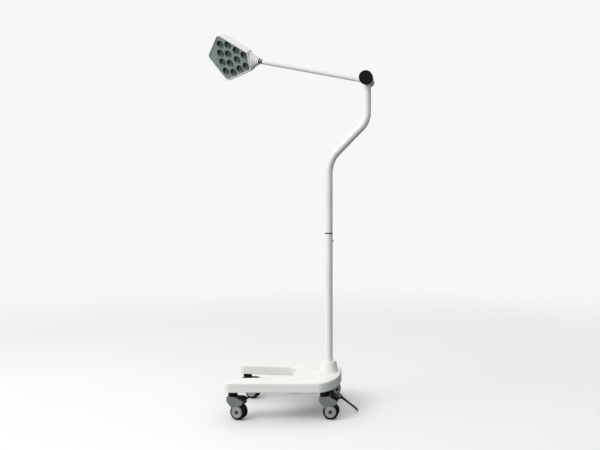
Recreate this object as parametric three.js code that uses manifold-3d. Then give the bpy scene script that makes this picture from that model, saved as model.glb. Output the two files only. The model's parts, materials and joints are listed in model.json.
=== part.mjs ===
// A mobile examination lamp on a U-shaped base with four castors: a gooseneck mast that
// swivels on a fixed lower pole, an arm on a clamped elbow, and a five-sided LED head on a
// ball joint. Millimetres, +Z up, floor at z = 0. The legs of the base point to -X, which
// is the front; facing it, left is -Y.
import * as THREE from "three";
import { mergeVertices } from "three/addons/utils/BufferGeometryUtils.js";
import Module from "manifold-3d";

// ---------------------------------------------------------------- driving dimensions

const GAP = 0.3; // between pieces that touch

// Where the column stands, so that the origin is the middle of the lamp's own footprint.
const COLUMN = { x: 212, y: -15 };

// Base, measured from the column axis
const BASE_FRONT = -478;
const BASE_HALF_WIDTH = 230;
const BASE_REAR = { centre: -38, reach: 101 }; // half ellipse behind the column
const BASE_BOTTOM = 133;
const BASE_TOP = 180;
const BASE_ROUND = 7;
const LEG_WIDTH = 88; // at the open end
const LEG_CORNER = 28;
const SLOT_END = { x: -168, halfWidth: 104, corner: 45 };
const BASE_WALL = 8;
const BASE_ROOF = 6;
const COVER_THICK = 3;
const BALLAST_THICK = 10;
const FLANGE = { radius: 52, height: 9 };
const COLLAR = { bottom: 46, top: 37, height: 54, round: 5 };
const DRIVER_BOX = { from: [-118, -55], to: [-62, 55], height: 22 };

// Castors, turned about their swivel axes
const CASTOR_PLACES = {
  front_left: { x: -442, y: -184, turn: -18 },
  rear_left: { x: -8, y: -184, turn: -6 },
  front_right: { x: -442, y: 184, turn: -18 },
  rear_right: { x: -8, y: 184, turn: 50 },
};
const WHEEL_SIDES = 24;
const WHEEL_RADIUS = 37.5; // to the middle of a facet, which rests on the floor
const TREAD_HALF = 17;
const HUB_RADIUS = 27;
const TRAIL = 32; // wheel axle behind the swivel axis
const FORK = { inside: 19.3, outside: 23.5, top: 108, wheelRoom: 40.5 };
const CUP = { radius: 22, pin: 5, pinBottom: 90, stem: 6, stemTop: 160 };
const AXLE = { radius: 5, head: 8, headThick: 1.5 };
const PEDAL = { x: 38, z: 92, halfWidth: 15, lug: 4, lugHalf: 5.5 };

// Mast
const POLE = { radius: 19, bore: 16 };
const LOWER_POLE_TOP = 870;
const MAST_RING_HEIGHT = 6;
const MAST_SCREW = { z: 834, radius: 2.5, head: 4.5, headHeight: 4 };
const SPIGOT = { bottom: 770, top: 965, radius: 15, bore: 12.5 };
const MAST_TURN = -7.6;
const GOOSENECK = { offset: 195, lean: 45, start: 1176, lowerBend: 150, upperBend: 110 };

// Elbow, whose axis lies along Y
const ELBOW_Z = 1640;
const KNUCKLE_RADIUS = 28;
const BOLT_RADIUS = 6;
const BOLT_BORE = 6.4;
const KNOB = { radius: 34, front: -60, back: -32 };
const YOKE_HALF = 22;
const WASHER = { radius: 26, thick: 2 };
const ARM_KNUCKLE = { from: 24.6, to: 58 };
const ELBOW_CAP_END = 75;

// Arm, measured from the elbow axis to the ball at the wrist
const ARM_TILT = 11.8;
const ARM_LENGTH = 580;
const ARM_MID = 41.3; // middle of the arm knuckle
const ARM = { radius: 12, bore: 10 };
const BALL = { radius: 8.5, seat: 8.8, stem: 4.5, cup: 11.5, mouth: -3.4, cupEnd: 14 };
const WRIST_RING = { from: -16.5, to: -11.5, radius: 12.8 };
const WRIST_ROLL = 0;
const WRIST_BEND = -13.7;

// Head, measured from the ball along its own axis, with the light shining to -Z
const HEAD_ROLL = 50.9;
const HEAD_START = 48;
const HEAD_TIP = 319;
const HEAD_WIDEST = 222;
const HEAD_HALF_WIDTH = 137;
const HEAD_NECK_HALF = 52;
const HEAD_CORNERS = { neck: 12, side: 30, tip: 26 };
const HEAD_BACK = 20;
const HEAD_SPLIT = -9;
const HEAD_FRONT = -18;
const HEAD_ROUND = 7;
const HEAD_WALL = 3.5;
const BEZEL_RIM = 10;
const NECK = { small: 15, halfThick: 17, rib: 2.4, ribs: [0.2, 0.5, 0.8] };
const LENS = { radius: 19, height: 3 };
// Lens centres by row: distance from the ball, and the places across. Each row bows towards the
// ball at its ends.
const LENS_ROWS = [
  { x: 82, across: [-30, 30] },
  { x: 129, across: [-51, 0, 51] },
  { x: 180, across: [-76, -25.5, 25.5, 76] },
  { x: 228, across: [-75, -24.5, 24.5, 75] },
];
const LENS_BOW = 0.0019;
const SWITCH = { x: 86, halfLength: 11, halfWidth: 6, room: 1.4, rock: 6 };

// Mains lead, from the column axis: down from the gland and outwards in one slanting bend,
// back along the floor, and round behind the base to the coil.
const CORD = { radius: 3.5, sides: 8, steps: 54, tailSteps: 6 };
const GLAND = { x: 10, y: 0, bottom: 106, top: 142, thread: 7.5 };
const CORD_ROUTE = [
  [10, 0, 105.7],
  [10, 0, 98],
  [12.5, -1.7, 88],
  [19, -7, 78.5],
  [31, -16.5, 71],
  [50, -32.5, 64.5],
  [80, -58, 54],
  [101, -76, 45],
  [114.5, -86, 38],
  [126.5, -88, 29.5],
  [136.5, -84, 20.5],
  [143, -75.5, 12.5],
  [145.5, -63, 6.4],
  [143.5, -49, 3.8],
  [137, -27, 3.7],
  [122.5, 10, 3.7],
  [105, 54, 3.7],
  [83.5, 110, 3.7],
  [67, 155, 3.7],
  [55.5, 195, 3.7],
  [45, 232, 3.7],
  [28, 259, 3.7],
  [4, 273, 3.7],
  [-28, 277, 3.7],
  [-72.5, 276.5, 3.7],
];
const COIL = { x: -100, y: 325, inner: 27, outer: 52.2, bottom: 0.2, shoulder: 14.3, top: 21.3 };
const PLUG = { x: -202, y: 281, z: 10.6, halfLength: 22, halfWidth: 13, halfHeight: 10.4 };
const PLUG_BOOT = 14;
const TAIL_ROUTE = [
  [-134, 281, 17.5],
  [-143, 281, 16.4],
  [-153, 281, 13.2],
  [-160, 281, 11],
  [PLUG.x + PLUG.halfLength + PLUG_BOOT + 2 * GAP, PLUG.y, PLUG.z],
];

// ---------------------------------------------------------------- finishes

const finish = (color, roughness, metalness = 0) => ({ color, roughness, metalness });

const WHITE_PLASTIC = finish(0xefedea, 0.45);
const WHITE_PAINT = finish(0xf1efee, 0.35);
const GREY_PLASTIC = finish(0x8b8f8c, 0.55);
const BLACK_PLASTIC = finish(0x151515, 0.5);
const BLACK_RUBBER = finish(0x101010, 0.8);
const STEEL = finish(0x9a9c9e, 0.35, 1);
const CLEAR_PLASTIC = finish(0x8fa5a0, 0.15);
const CIRCUIT_BOARD = finish(0xd8d8d0, 0.6);

// ---------------------------------------------------------------- joining and cutting

const wasm = await Module();
wasm.setup();

function solid(geometry) {
  const bare = new THREE.BufferGeometry();
  bare.setAttribute("position", geometry.getAttribute("position"));
  bare.setIndex(geometry.index);
  const merged = mergeVertices(bare, 1e-3);
  return new wasm.Manifold(
    new wasm.Mesh({
      numProp: 3,
      vertProperties: merged.attributes.position.array,
      triVerts: new Uint32Array(merged.index.array),
    }),
  );
}

function geometryOf(manifold) {
  const mesh = manifold.getMesh();
  const geometry = new THREE.BufferGeometry();
  geometry.setAttribute("position", new THREE.BufferAttribute(mesh.vertProperties, 3));
  geometry.setIndex(new THREE.BufferAttribute(mesh.triVerts, 1));
  return geometry;
}

function join(first, ...others) {
  return geometryOf(others.reduce((sum, other) => sum.add(solid(other)), solid(first)));
}

function cut(geometry, ...tools) {
  return geometryOf(tools.reduce((rest, tool) => rest.subtract(solid(tool)), solid(geometry)));
}

// ---------------------------------------------------------------- basic shapes

const QUARTER = Math.PI / 2;
const radians = THREE.MathUtils.degToRad;

// A profile of [radius, height] pairs, from low to high outside, turned about an axis.
function turned(profile, sides, axis = "z") {
  const points = profile.map(([radius, height]) => new THREE.Vector2(radius, height));
  const geometry = new THREE.LatheGeometry(points, sides);
  if (axis === "z") geometry.rotateX(QUARTER);
  if (axis === "x") geometry.rotateZ(-QUARTER);
  return geometry;
}

function rod(radius, from, to, sides, axis) {
  return turned([[0, from], [radius, from], [radius, to], [0, to]], sides, axis);
}

function sleeve(bore, radius, from, to, sides, axis) {
  const profile = [[bore, from], [radius, from], [radius, to], [bore, to], [bore, from]];
  return turned(profile, sides, axis);
}

function box(from, to) {
  const size = to.map((value, axis) => value - from[axis]);
  const middle = to.map((value, axis) => (value + from[axis]) / 2);
  return new THREE.BoxGeometry(...size).translate(...middle);
}

// A flat outline made solid between two heights.
function prism(outline, from, to) {
  const shape = new THREE.Shape(outline);
  const options = { depth: to - from, bevelEnabled: false };
  return new THREE.ExtrudeGeometry(shape, options).translate(0, 0, from);
}

// The same with rounded edges, which stay inside the outline.
function roundedPrism(outline, from, to, round) {
  const options = {
    depth: to - from - 2 * round,
    bevelThickness: round,
    bevelSize: round,
    bevelOffset: -round,
    bevelSegments: 2,
  };
  const shape = new THREE.Shape(outline);
  return new THREE.ExtrudeGeometry(shape, options).translate(0, 0, from + round);
}

// An outline in XZ made solid between y = -half and y = half.
function sidePrism(outline, half) {
  return prism(outline, -half, half).rotateX(QUARTER);
}

// The points that round one corner of an outline; corners are [x, y, radius].
function fillet(before, corner, after, steps) {
  const [x, y, radius] = corner;
  const at = new THREE.Vector2(x, y);
  if (!radius) return [at];
  const back = new THREE.Vector2(before[0], before[1]).sub(at).normalize();
  const ahead = new THREE.Vector2(after[0], after[1]).sub(at).normalize();
  const half = Math.acos(back.dot(ahead)) / 2;
  const clockwise = back.cross(ahead) > 0;
  const reach = radius / Math.tan(half);
  const centre = back.clone().add(ahead).setLength(radius / Math.sin(half)).add(at);
  const from = back.multiplyScalar(reach).add(at).sub(centre).angle();
  const to = ahead.multiplyScalar(reach).add(at).sub(centre).angle();
  const arc = new THREE.EllipseCurve(centre.x, centre.y, radius, radius, from, to, clockwise);
  return arc.getPoints(steps);
}

function roundedOutline(corners, steps = 4) {
  const count = corners.length;
  return corners.flatMap((corner, index) =>
    fillet(corners[(index + count - 1) % count], corner, corners[(index + 1) % count], steps),
  );
}

// ---------------------------------------------------------------- scene graph

function group(parent, position = [0, 0, 0]) {
  const made = new THREE.Group();
  made.position.set(...position);
  parent.add(made);
  return made;
}

function piece(parent, name, geometry, look) {
  const mesh = new THREE.Mesh(geometry, new THREE.MeshStandardMaterial(look));
  mesh.name = name;
  parent.add(mesh);
  return mesh;
}

// ---------------------------------------------------------------- base

// The U-shaped outline, moved inwards by an inset.
function baseOutline(inset, rearSteps = 18, cornerSteps = 2) {
  const side = BASE_HALF_WIDTH - inset;
  const front = BASE_FRONT + inset;
  const inner = BASE_HALF_WIDTH - LEG_WIDTH + inset;
  const corner = LEG_CORNER - inset;
  const slot = [SLOT_END.x + inset, SLOT_END.halfWidth + inset, SLOT_END.corner + inset];
  const rear = new THREE.EllipseCurve(
    BASE_REAR.centre, 0, BASE_REAR.reach - inset, side, -QUARTER, QUARTER,
  ).getPoints(rearSteps);
  const leftLeg = [[slot[0], -slot[1], slot[2]], [front, -inner, corner], [front, -side, corner]];
  const rightLeg = leftLeg.map(([x, y, radius]) => [x, -y, radius]).reverse();
  const around = [...rightLeg, ...leftLeg];
  const ends = [[BASE_REAR.centre, side], [BASE_REAR.centre, -side]];
  const rounded = around.flatMap((point, index) =>
    fillet(around[index - 1] ?? ends[0], point, around[index + 1] ?? ends[1], cornerSteps),
  );
  return [...rear, ...rounded];
}

function atCastors(make) {
  return Object.values(CASTOR_PLACES).map(({ x, y }) => make().translate(x, y, 0));
}

function buildBase(frame) {
  const coverTop = BASE_BOTTOM + COVER_THICK;
  const ballastBottom = coverTop + GAP;
  const ballastTop = ballastBottom + BALLAST_THICK;
  const flangeBottom = ballastTop + GAP;
  const stemHole = () => rod(CUP.stem + GAP, BASE_BOTTOM - 1, BASE_TOP - 1, 16);
  const glandHole = rod(GLAND.thread + GAP, BASE_BOTTOM - 1, GLAND.top + 8, 16);
  glandHole.translate(GLAND.x, GLAND.y, 0);
  const poleHole = rod(POLE.radius + GAP, BASE_BOTTOM, BASE_TOP + 1, 24);

  const outside = roundedPrism(baseOutline(0, 28, 4), BASE_BOTTOM, BASE_TOP, BASE_ROUND);
  const pocket = prism(baseOutline(BASE_WALL), BASE_BOTTOM - 1, BASE_TOP - BASE_ROOF);
  piece(frame, "base_shell", cut(outside, pocket, poleHole), WHITE_PLASTIC);

  const cover = prism(baseOutline(BASE_WALL + GAP), BASE_BOTTOM, coverTop);
  piece(frame, "base_underside_cover", cut(cover, glandHole, ...atCastors(stemHole)), STEEL);

  const ballast = prism(baseOutline(BASE_WALL + 1), ballastBottom, ballastTop);
  piece(frame, "ballast_plate", cut(ballast, glandHole, ...atCastors(stemHole)), STEEL);

  const flangeTop = flangeBottom + FLANGE.height;
  const flange = sleeve(POLE.radius + GAP, FLANGE.radius, flangeBottom, flangeTop, 24);
  piece(frame, "column_flange", flange, STEEL);

  const [left, front] = DRIVER_BOX.from;
  const [right, back] = DRIVER_BOX.to;
  const driver = box([left, front, flangeBottom], [right, back, flangeBottom + DRIVER_BOX.height]);
  piece(frame, "led_driver_box", driver, GREY_PLASTIC);

  const collarBottom = BASE_TOP + GAP;
  const collarTop = collarBottom + COLLAR.height;
  const collar = turned(
    [
      [POLE.radius + GAP, collarBottom],
      [COLLAR.bottom, collarBottom],
      [COLLAR.top, collarTop - COLLAR.round],
      [COLLAR.top - 1.5, collarTop - 1.5],
      [COLLAR.top - COLLAR.round, collarTop],
      [POLE.radius + GAP, collarTop],
      [POLE.radius + GAP, collarBottom],
    ],
    24,
  );
  piece(frame, "column_collar", collar, WHITE_PLASTIC);

  const pole = sleeve(POLE.bore, POLE.radius, flangeBottom, LOWER_POLE_TOP, 24);
  const screwHole = rod(MAST_SCREW.radius + GAP, 10, POLE.radius + 5, 12, "x");
  screwHole.translate(0, 0, MAST_SCREW.z);
  piece(frame, "lower_pole", cut(pole, screwHole), WHITE_PAINT);

  const ringBottom = LOWER_POLE_TOP + GAP;
  const ring = sleeve(
    POLE.bore, POLE.radius + 0.6, ringBottom, ringBottom + MAST_RING_HEIGHT - 2 * GAP, 24,
  );
  piece(frame, "mast_ring", ring, BLACK_PLASTIC);

  const head = POLE.radius + GAP;
  const screw = turned(
    [
      [0, SPIGOT.radius + GAP],
      [MAST_SCREW.radius, SPIGOT.radius + GAP],
      [MAST_SCREW.radius, head],
      [MAST_SCREW.head, head],
      [MAST_SCREW.head, head + MAST_SCREW.headHeight],
      [0, head + MAST_SCREW.headHeight],
    ],
    12,
    "x",
  );
  piece(frame, "mast_clamp_screw", screw.translate(0, 0, MAST_SCREW.z), STEEL);
}

// ---------------------------------------------------------------- castors

function castorFork() {
  // The outline has its cheek round the axle and a lobe over the top of the wheel.
  const side = roundedOutline([
    [-22, FORK.top, 2],
    [-22, 84, 8],
    [5, 56, 14],
    [5, 10.5, HUB_RADIUS],
    [59, 10.5, HUB_RADIUS],
    [59, 64.5, 26.4],
    [30, 67, 0],
    [52, 69, 5],
    [63, 79, 5],
    [60, 90, 6],
    [26, 106, 0],
    [22, FORK.top, 0],
  ], 3);
  const wheelRoom = rod(FORK.wheelRoom, -FORK.inside, FORK.inside, 24, "y");
  const slot = PEDAL.lugHalf + GAP;
  const lugRoom = PEDAL.lug + 2.2;
  return cut(
    sidePrism(side, FORK.outside),
    wheelRoom.translate(TRAIL, 0, WHEEL_RADIUS),
    rod(AXLE.radius + GAP, -30, 30, 12, "y").translate(TRAIL, 0, WHEEL_RADIUS),
    rod(CUP.pin + GAP, CUP.pinBottom - 1, FORK.top + 1, 14),
    rod(lugRoom, -slot, slot, 12, "y").translate(PEDAL.x, 0, PEDAL.z),
    box([PEDAL.x - lugRoom, -slot, PEDAL.z], [PEDAL.x + lugRoom, slot, FORK.top + 5]),
  );
}

function castorPedal() {
  const tread = roundedOutline(
    [[27.5, 110.5, 2], [28.5, 107.6, 0.5], [62, 92.8, 3], [77, 98, 2], [78, 103, 2], [50, 110.5, 6]],
    2,
  );
  const { x, z, lug, lugHalf } = PEDAL;
  return join(
    sidePrism(tread, PEDAL.halfWidth),
    rod(lug, -lugHalf, lugHalf, 12, "y").translate(x, 0, z),
    box([x - lug, -lugHalf, z], [x + lug, lugHalf, z + 12]),
  );
}

function castorCup() {
  const bottom = FORK.top + GAP;
  const top = BASE_BOTTOM - GAP;
  return turned(
    [
      [0, CUP.pinBottom],
      [CUP.pin, CUP.pinBottom],
      [CUP.pin, bottom],
      [CUP.radius - 2, bottom],
      [CUP.radius, bottom + 2],
      [CUP.radius, top - 4],
      [CUP.radius - 3, top],
      [CUP.stem, top],
      [CUP.stem, CUP.stemTop],
      [0, CUP.stemTop],
    ],
    16,
  );
}

function castorTyre() {
  // The radius runs to the corners, so that the middle of each facet touches the floor.
  const outer = WHEEL_RADIUS / Math.cos(Math.PI / WHEEL_SIDES);
  const inner = HUB_RADIUS + GAP;
  const tyre = turned(
    [
      [inner, -TREAD_HALF + 2],
      [outer - 4, -TREAD_HALF],
      [outer, -TREAD_HALF + 7],
      [outer, TREAD_HALF - 7],
      [outer - 4, TREAD_HALF],
      [inner, TREAD_HALF - 2],
      [inner, -TREAD_HALF + 2],
    ],
    WHEEL_SIDES,
    "y",
  );
  return tyre.rotateY(Math.PI / WHEEL_SIDES);
}

function castorAxle() {
  const { radius, head, headThick } = AXLE;
  const reach = FORK.outside + GAP;
  return turned(
    [
      [0, -reach - headThick],
      [head, -reach - headThick],
      [head, -reach],
      [radius, -reach],
      [radius, reach],
      [head, reach],
      [head, reach + headThick],
      [0, reach + headThick],
    ],
    12,
    "y",
  );
}

function buildCastor(frame, place, { x, y, turn }) {
  const name = (part) => `castor_${place}_${part}`;
  piece(group(frame, [x, y, 0]), name("cup"), castorCup(), BLACK_PLASTIC);
  const swivel = group(frame, [x, y, 0]);
  swivel.rotation.z = radians(turn);
  piece(swivel, name("fork"), castorFork(), GREY_PLASTIC);
  piece(swivel, name("pedal"), castorPedal(), BLACK_PLASTIC);
  const wheel = group(swivel, [TRAIL, 0, WHEEL_RADIUS]);
  piece(wheel, name("axle"), castorAxle(), BLACK_PLASTIC);
  piece(wheel, name("tyre"), castorTyre(), BLACK_RUBBER);
  const hubHalf = TREAD_HALF - 2;
  const hub = sleeve(AXLE.radius + GAP, HUB_RADIUS, -hubHalf, hubHalf, 16, "y");
  piece(wheel, name("hub"), hub, GREY_PLASTIC);
}

// ---------------------------------------------------------------- mast

// The centre line of the S-bend in the XZ plane: two arcs of the same angle with straight
// runs between and beyond them. The curve parameter has one even step for each straight
// run and BEND_STEPS steps for each bend.
const BEND_STEPS = 8;
const GOOSENECK_STEPS = 2 * BEND_STEPS + 3;

class GooseneckCurve extends THREE.Curve {
  constructor(bottom, top) {
    super();
    const { offset, lean, start, lowerBend, upperBend } = GOOSENECK;
    this.bottom = bottom;
    this.top = top;
    this.lean = radians(lean);
    this.lowerCentre = [lowerBend, start];
    const across = 1 - Math.cos(this.lean);
    const rise = Math.sin(this.lean);
    const straightAcross = offset - (lowerBend + upperBend) * across;
    const straightRise = straightAcross / Math.tan(this.lean);
    this.end = start + (lowerBend + upperBend) * rise + straightRise;
    this.upperCentre = [offset - upperBend, this.end];
  }

  place(step) {
    const { lowerBend, upperBend, offset } = GOOSENECK;
    const [lowerX, lowerZ] = this.lowerCentre;
    const [upperX, upperZ] = this.upperCentre;
    if (step <= 1) return [0, THREE.MathUtils.lerp(this.bottom, lowerZ, step), 0];
    if (step <= 1 + BEND_STEPS) {
      const angle = (this.lean * (step - 1)) / BEND_STEPS;
      return [lowerX - lowerBend * Math.cos(angle), lowerZ + lowerBend * Math.sin(angle), angle];
    }
    if (step < 2 + BEND_STEPS) {
      const from = this.place(1 + BEND_STEPS);
      const to = this.place(2 + BEND_STEPS);
      const along = step - 1 - BEND_STEPS;
      return from.map((value, index) => THREE.MathUtils.lerp(value, to[index], along));
    }
    if (step <= 2 + 2 * BEND_STEPS) {
      const angle = this.lean * (1 - (step - 2 - BEND_STEPS) / BEND_STEPS);
      return [upperX + upperBend * Math.cos(angle), upperZ - upperBend * Math.sin(angle), angle];
    }
    const along = step - 2 - 2 * BEND_STEPS;
    return [offset, THREE.MathUtils.lerp(upperZ, this.top, along), 0];
  }

  getPointAt(u, target = new THREE.Vector3()) {
    const [x, z] = this.place(u * GOOSENECK_STEPS);
    return target.set(x, 0, z);
  }

  getTangentAt(u, target = new THREE.Vector3()) {
    const angle = this.place(u * GOOSENECK_STEPS)[2];
    return target.set(Math.sin(angle), 0, Math.cos(angle));
  }
}

function circle(radius, sides) {
  return new THREE.EllipseCurve(0, 0, radius, radius).getPoints(sides).slice(0, -1);
}

function gooseneck() {
  const bottom = LOWER_POLE_TOP + MAST_RING_HEIGHT;
  const path = new GooseneckCurve(bottom, ELBOW_Z - 10);
  const section = new THREE.Shape(circle(POLE.radius, 20));
  section.holes.push(new THREE.Path(circle(POLE.bore, 10)));
  const options = { steps: GOOSENECK_STEPS, extrudePath: path, bevelEnabled: false };
  const tube = new THREE.ExtrudeGeometry(section, options);
  const seat = rod(KNUCKLE_RADIUS + GAP, -30, 30, 24, "y");
  return cut(tube, seat.translate(GOOSENECK.offset, 0, ELBOW_Z));
}

function buildMast(frame) {
  const mast = group(frame);
  mast.rotation.z = radians(MAST_TURN);
  piece(mast, "upper_pole", gooseneck(), WHITE_PAINT);
  const { bore, radius, bottom, top } = SPIGOT;
  piece(mast, "mast_spigot", sleeve(bore, radius, bottom, top, 16), STEEL);
  return mast;
}

// ---------------------------------------------------------------- elbow

function buildElbow(mast) {
  const elbow = group(mast, [GOOSENECK.offset, 0, ELBOW_Z]);
  const boltHole = rod(BOLT_BORE, -80, 80, 16, "y");

  const yoke = join(
    rod(KNUCKLE_RADIUS, -YOKE_HALF, YOKE_HALF, 28, "y"),
    rod(SPIGOT.radius, -58, -20, 16),
  );
  piece(elbow, "elbow_yoke", cut(yoke, boltHole), WHITE_PAINT);

  const washerEnd = YOKE_HALF + GAP + WASHER.thick;
  const washer = sleeve(BOLT_BORE, WASHER.radius, YOKE_HALF + GAP, washerEnd, 24, "y");
  piece(elbow, "elbow_friction_washer", washer, BLACK_PLASTIC);

  const spacer = sleeve(BOLT_BORE, 17, KNOB.back + GAP, -YOKE_HALF - GAP, 20, "y");
  piece(elbow, "elbow_spacer", spacer, STEEL);

  const headStart = ARM_KNUCKLE.to + 2 * GAP;
  const bolt = join(
    rod(BOLT_RADIUS, KNOB.front + 6, headStart + 2, 14, "y"),
    rod(10, headStart, headStart + 7, 6, "y"),
  );
  piece(elbow, "elbow_bolt", bolt, STEEL);

  const knob = turned(
    [
      [0, KNOB.front],
      [KNOB.radius - 4, KNOB.front],
      [KNOB.radius, KNOB.front + 4],
      [KNOB.radius, KNOB.back - 6],
      [KNOB.radius - 5, KNOB.back],
      [BOLT_BORE, KNOB.back],
      [BOLT_BORE, KNOB.front + 5],
      [0, KNOB.front + 5],
    ],
    32,
    "y",
  );
  piece(elbow, "elbow_knob", knob, BLACK_PLASTIC);

  const capStart = ARM_KNUCKLE.to + GAP;
  const cap = turned(
    [
      [11, capStart],
      [KNUCKLE_RADIUS, capStart],
      [KNUCKLE_RADIUS, ELBOW_CAP_END - 9],
      [KNUCKLE_RADIUS - 3, ELBOW_CAP_END - 3],
      [KNUCKLE_RADIUS - 10, ELBOW_CAP_END],
      [0, ELBOW_CAP_END],
      [0, ELBOW_CAP_END - 5],
      [11, ELBOW_CAP_END - 5],
      [11, capStart],
    ],
    28,
    "y",
  );
  piece(elbow, "elbow_cap", cap, WHITE_PAINT);
  return elbow;
}

// ---------------------------------------------------------------- arm and wrist

function buildArm(elbow) {
  // The arm's own frame has +X along the arm, so its Y is the elbow's turned round.
  const arm = group(elbow);
  arm.rotation.set(0, -radians(ARM_TILT), Math.PI, "ZYX");

  const knuckle = join(
    rod(KNUCKLE_RADIUS, -ARM_KNUCKLE.to, -ARM_KNUCKLE.from, 28, "y"),
    rod(ARM.bore - GAP, 18, 60, 16, "x").translate(0, -ARM_MID, 0),
  );
  piece(arm, "arm_knuckle", cut(knuckle, rod(BOLT_BORE, -80, 80, 16, "y")), WHITE_PAINT);

  const tubeEnd = ARM_LENGTH + WRIST_RING.from - GAP;
  const tube = sleeve(ARM.bore, ARM.radius, 18, tubeEnd, 24, "x").translate(0, -ARM_MID, 0);
  const seat = rod(KNUCKLE_RADIUS + GAP, -80, 0, 28, "y");
  piece(arm, "arm_tube", cut(tube, seat), WHITE_PAINT);

  const wrist = group(arm, [ARM_LENGTH, -ARM_MID, 0]);
  const { stem } = BALL;
  const bushEnd = WRIST_RING.from - 2 * GAP;
  const bush = sleeve(stem + GAP, ARM.bore - GAP, bushEnd - 26, bushEnd, 16, "x");
  piece(wrist, "arm_bush", bush, BLACK_PLASTIC);
  const ring = sleeve(stem + GAP, WRIST_RING.radius, WRIST_RING.from, WRIST_RING.to, 24, "x");
  piece(wrist, "wrist_ring", ring, BLACK_PLASTIC);
  return wrist;
}

// Half circle points of the ball's profile, from its stem round to the far side.
function ballProfile() {
  const { radius, stem } = BALL;
  const start = -Math.sqrt(radius ** 2 - stem ** 2);
  const first = Math.atan2(stem, -start);
  const steps = 6;
  const round = [];
  for (let step = 0; step <= steps; step++) {
    const angle = Math.PI - first - ((Math.PI - first) * step) / steps;
    round.push([radius * Math.sin(angle), radius * Math.cos(angle)]);
  }
  round[steps][0] = 0;
  return round;
}

function cupProfile() {
  const { seat, cup, mouth, cupEnd } = BALL;
  const rim = Math.acos(mouth / seat);
  const steps = 5;
  const inside = [];
  for (let step = 0; step <= steps; step++) {
    const angle = (rim * step) / steps;
    inside.push([seat * Math.sin(angle), seat * Math.cos(angle)]);
  }
  return [...inside, [cup, mouth], [cup, cupEnd], [0, cupEnd]];
}

function buildWrist(wrist) {
  const roll = group(wrist);
  roll.rotation.x = radians(WRIST_ROLL);
  const stemStart = WRIST_RING.from - 30;
  const ball = turned([[0, stemStart], [BALL.stem, stemStart], ...ballProfile()], 16, "x");
  piece(roll, "wrist_ball", ball, STEEL);

  const bend = group(roll);
  bend.rotation.z = radians(WRIST_BEND);
  piece(bend, "wrist_cup", turned(cupProfile(), 20, "x"), BLACK_PLASTIC);

  const head = group(bend);
  head.rotation.x = radians(HEAD_ROLL);
  return head;
}

// ---------------------------------------------------------------- head

// A round bar stretched sideways towards the head, with raised ribs round it.
function neckShell() {
  const stations = [[0, 0], [1, 0]];
  for (const middle of NECK.ribs) {
    stations.push([1, middle - 0.11], [1, middle - 0.06], [1, middle + 0.06], [1, middle + 0.11]);
  }
  stations.push([1, 1], [0, 1]);
  const geometry = turned(stations, 20, "x");
  const position = geometry.getAttribute("position");
  for (let index = 0; index < position.count; index++) {
    const along = Math.max(position.getX(index), 0);
    const widening = along ** 1.3;
    const onRib = NECK.ribs.some((middle) => Math.abs(along - middle) < 0.08);
    const extra = onRib ? NECK.rib : 0;
    const halfWidth = THREE.MathUtils.lerp(NECK.small, HEAD_NECK_HALF - 5, widening) + extra;
    const halfThick = THREE.MathUtils.lerp(NECK.small, NECK.halfThick, along) + extra / 2;
    position.setXYZ(
      index,
      along * (HEAD_START - GAP),
      position.getY(index) * halfWidth,
      position.getZ(index) * halfThick,
    );
  }
  const cupRoom = rod(BALL.cup + GAP, -1, BALL.cupEnd + GAP, 20, "x");
  return cut(geometry, cupRoom);
}

function headOutline(inset) {
  const { neck, side, tip } = HEAD_CORNERS;
  const round = (radius) => Math.max(radius - inset, 3);
  // How far each corner moves when every edge moves inwards by the inset.
  const edges = roundedOutline([
    [HEAD_START, -HEAD_NECK_HALF, 0],
    [HEAD_WIDEST, -HEAD_HALF_WIDTH, 0],
    [HEAD_TIP, 0, 0],
    [HEAD_WIDEST, HEAD_HALF_WIDTH, 0],
    [HEAD_START, HEAD_NECK_HALF, 0],
  ]);
  const moved = edges.map((at, index) => {
    const back = edges.at(index - 1).clone().sub(at).normalize();
    const ahead = edges[(index + 1) % edges.length].clone().sub(at).normalize();
    const half = Math.acos(back.dot(ahead)) / 2;
    return at.clone().add(back.add(ahead).setLength(inset / Math.sin(half) || 0));
  });
  const radii = [neck, side, tip, side, neck];
  return roundedOutline(moved.map(({ x, y }, index) => [x, y, round(radii[index])]), 5);
}

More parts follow.
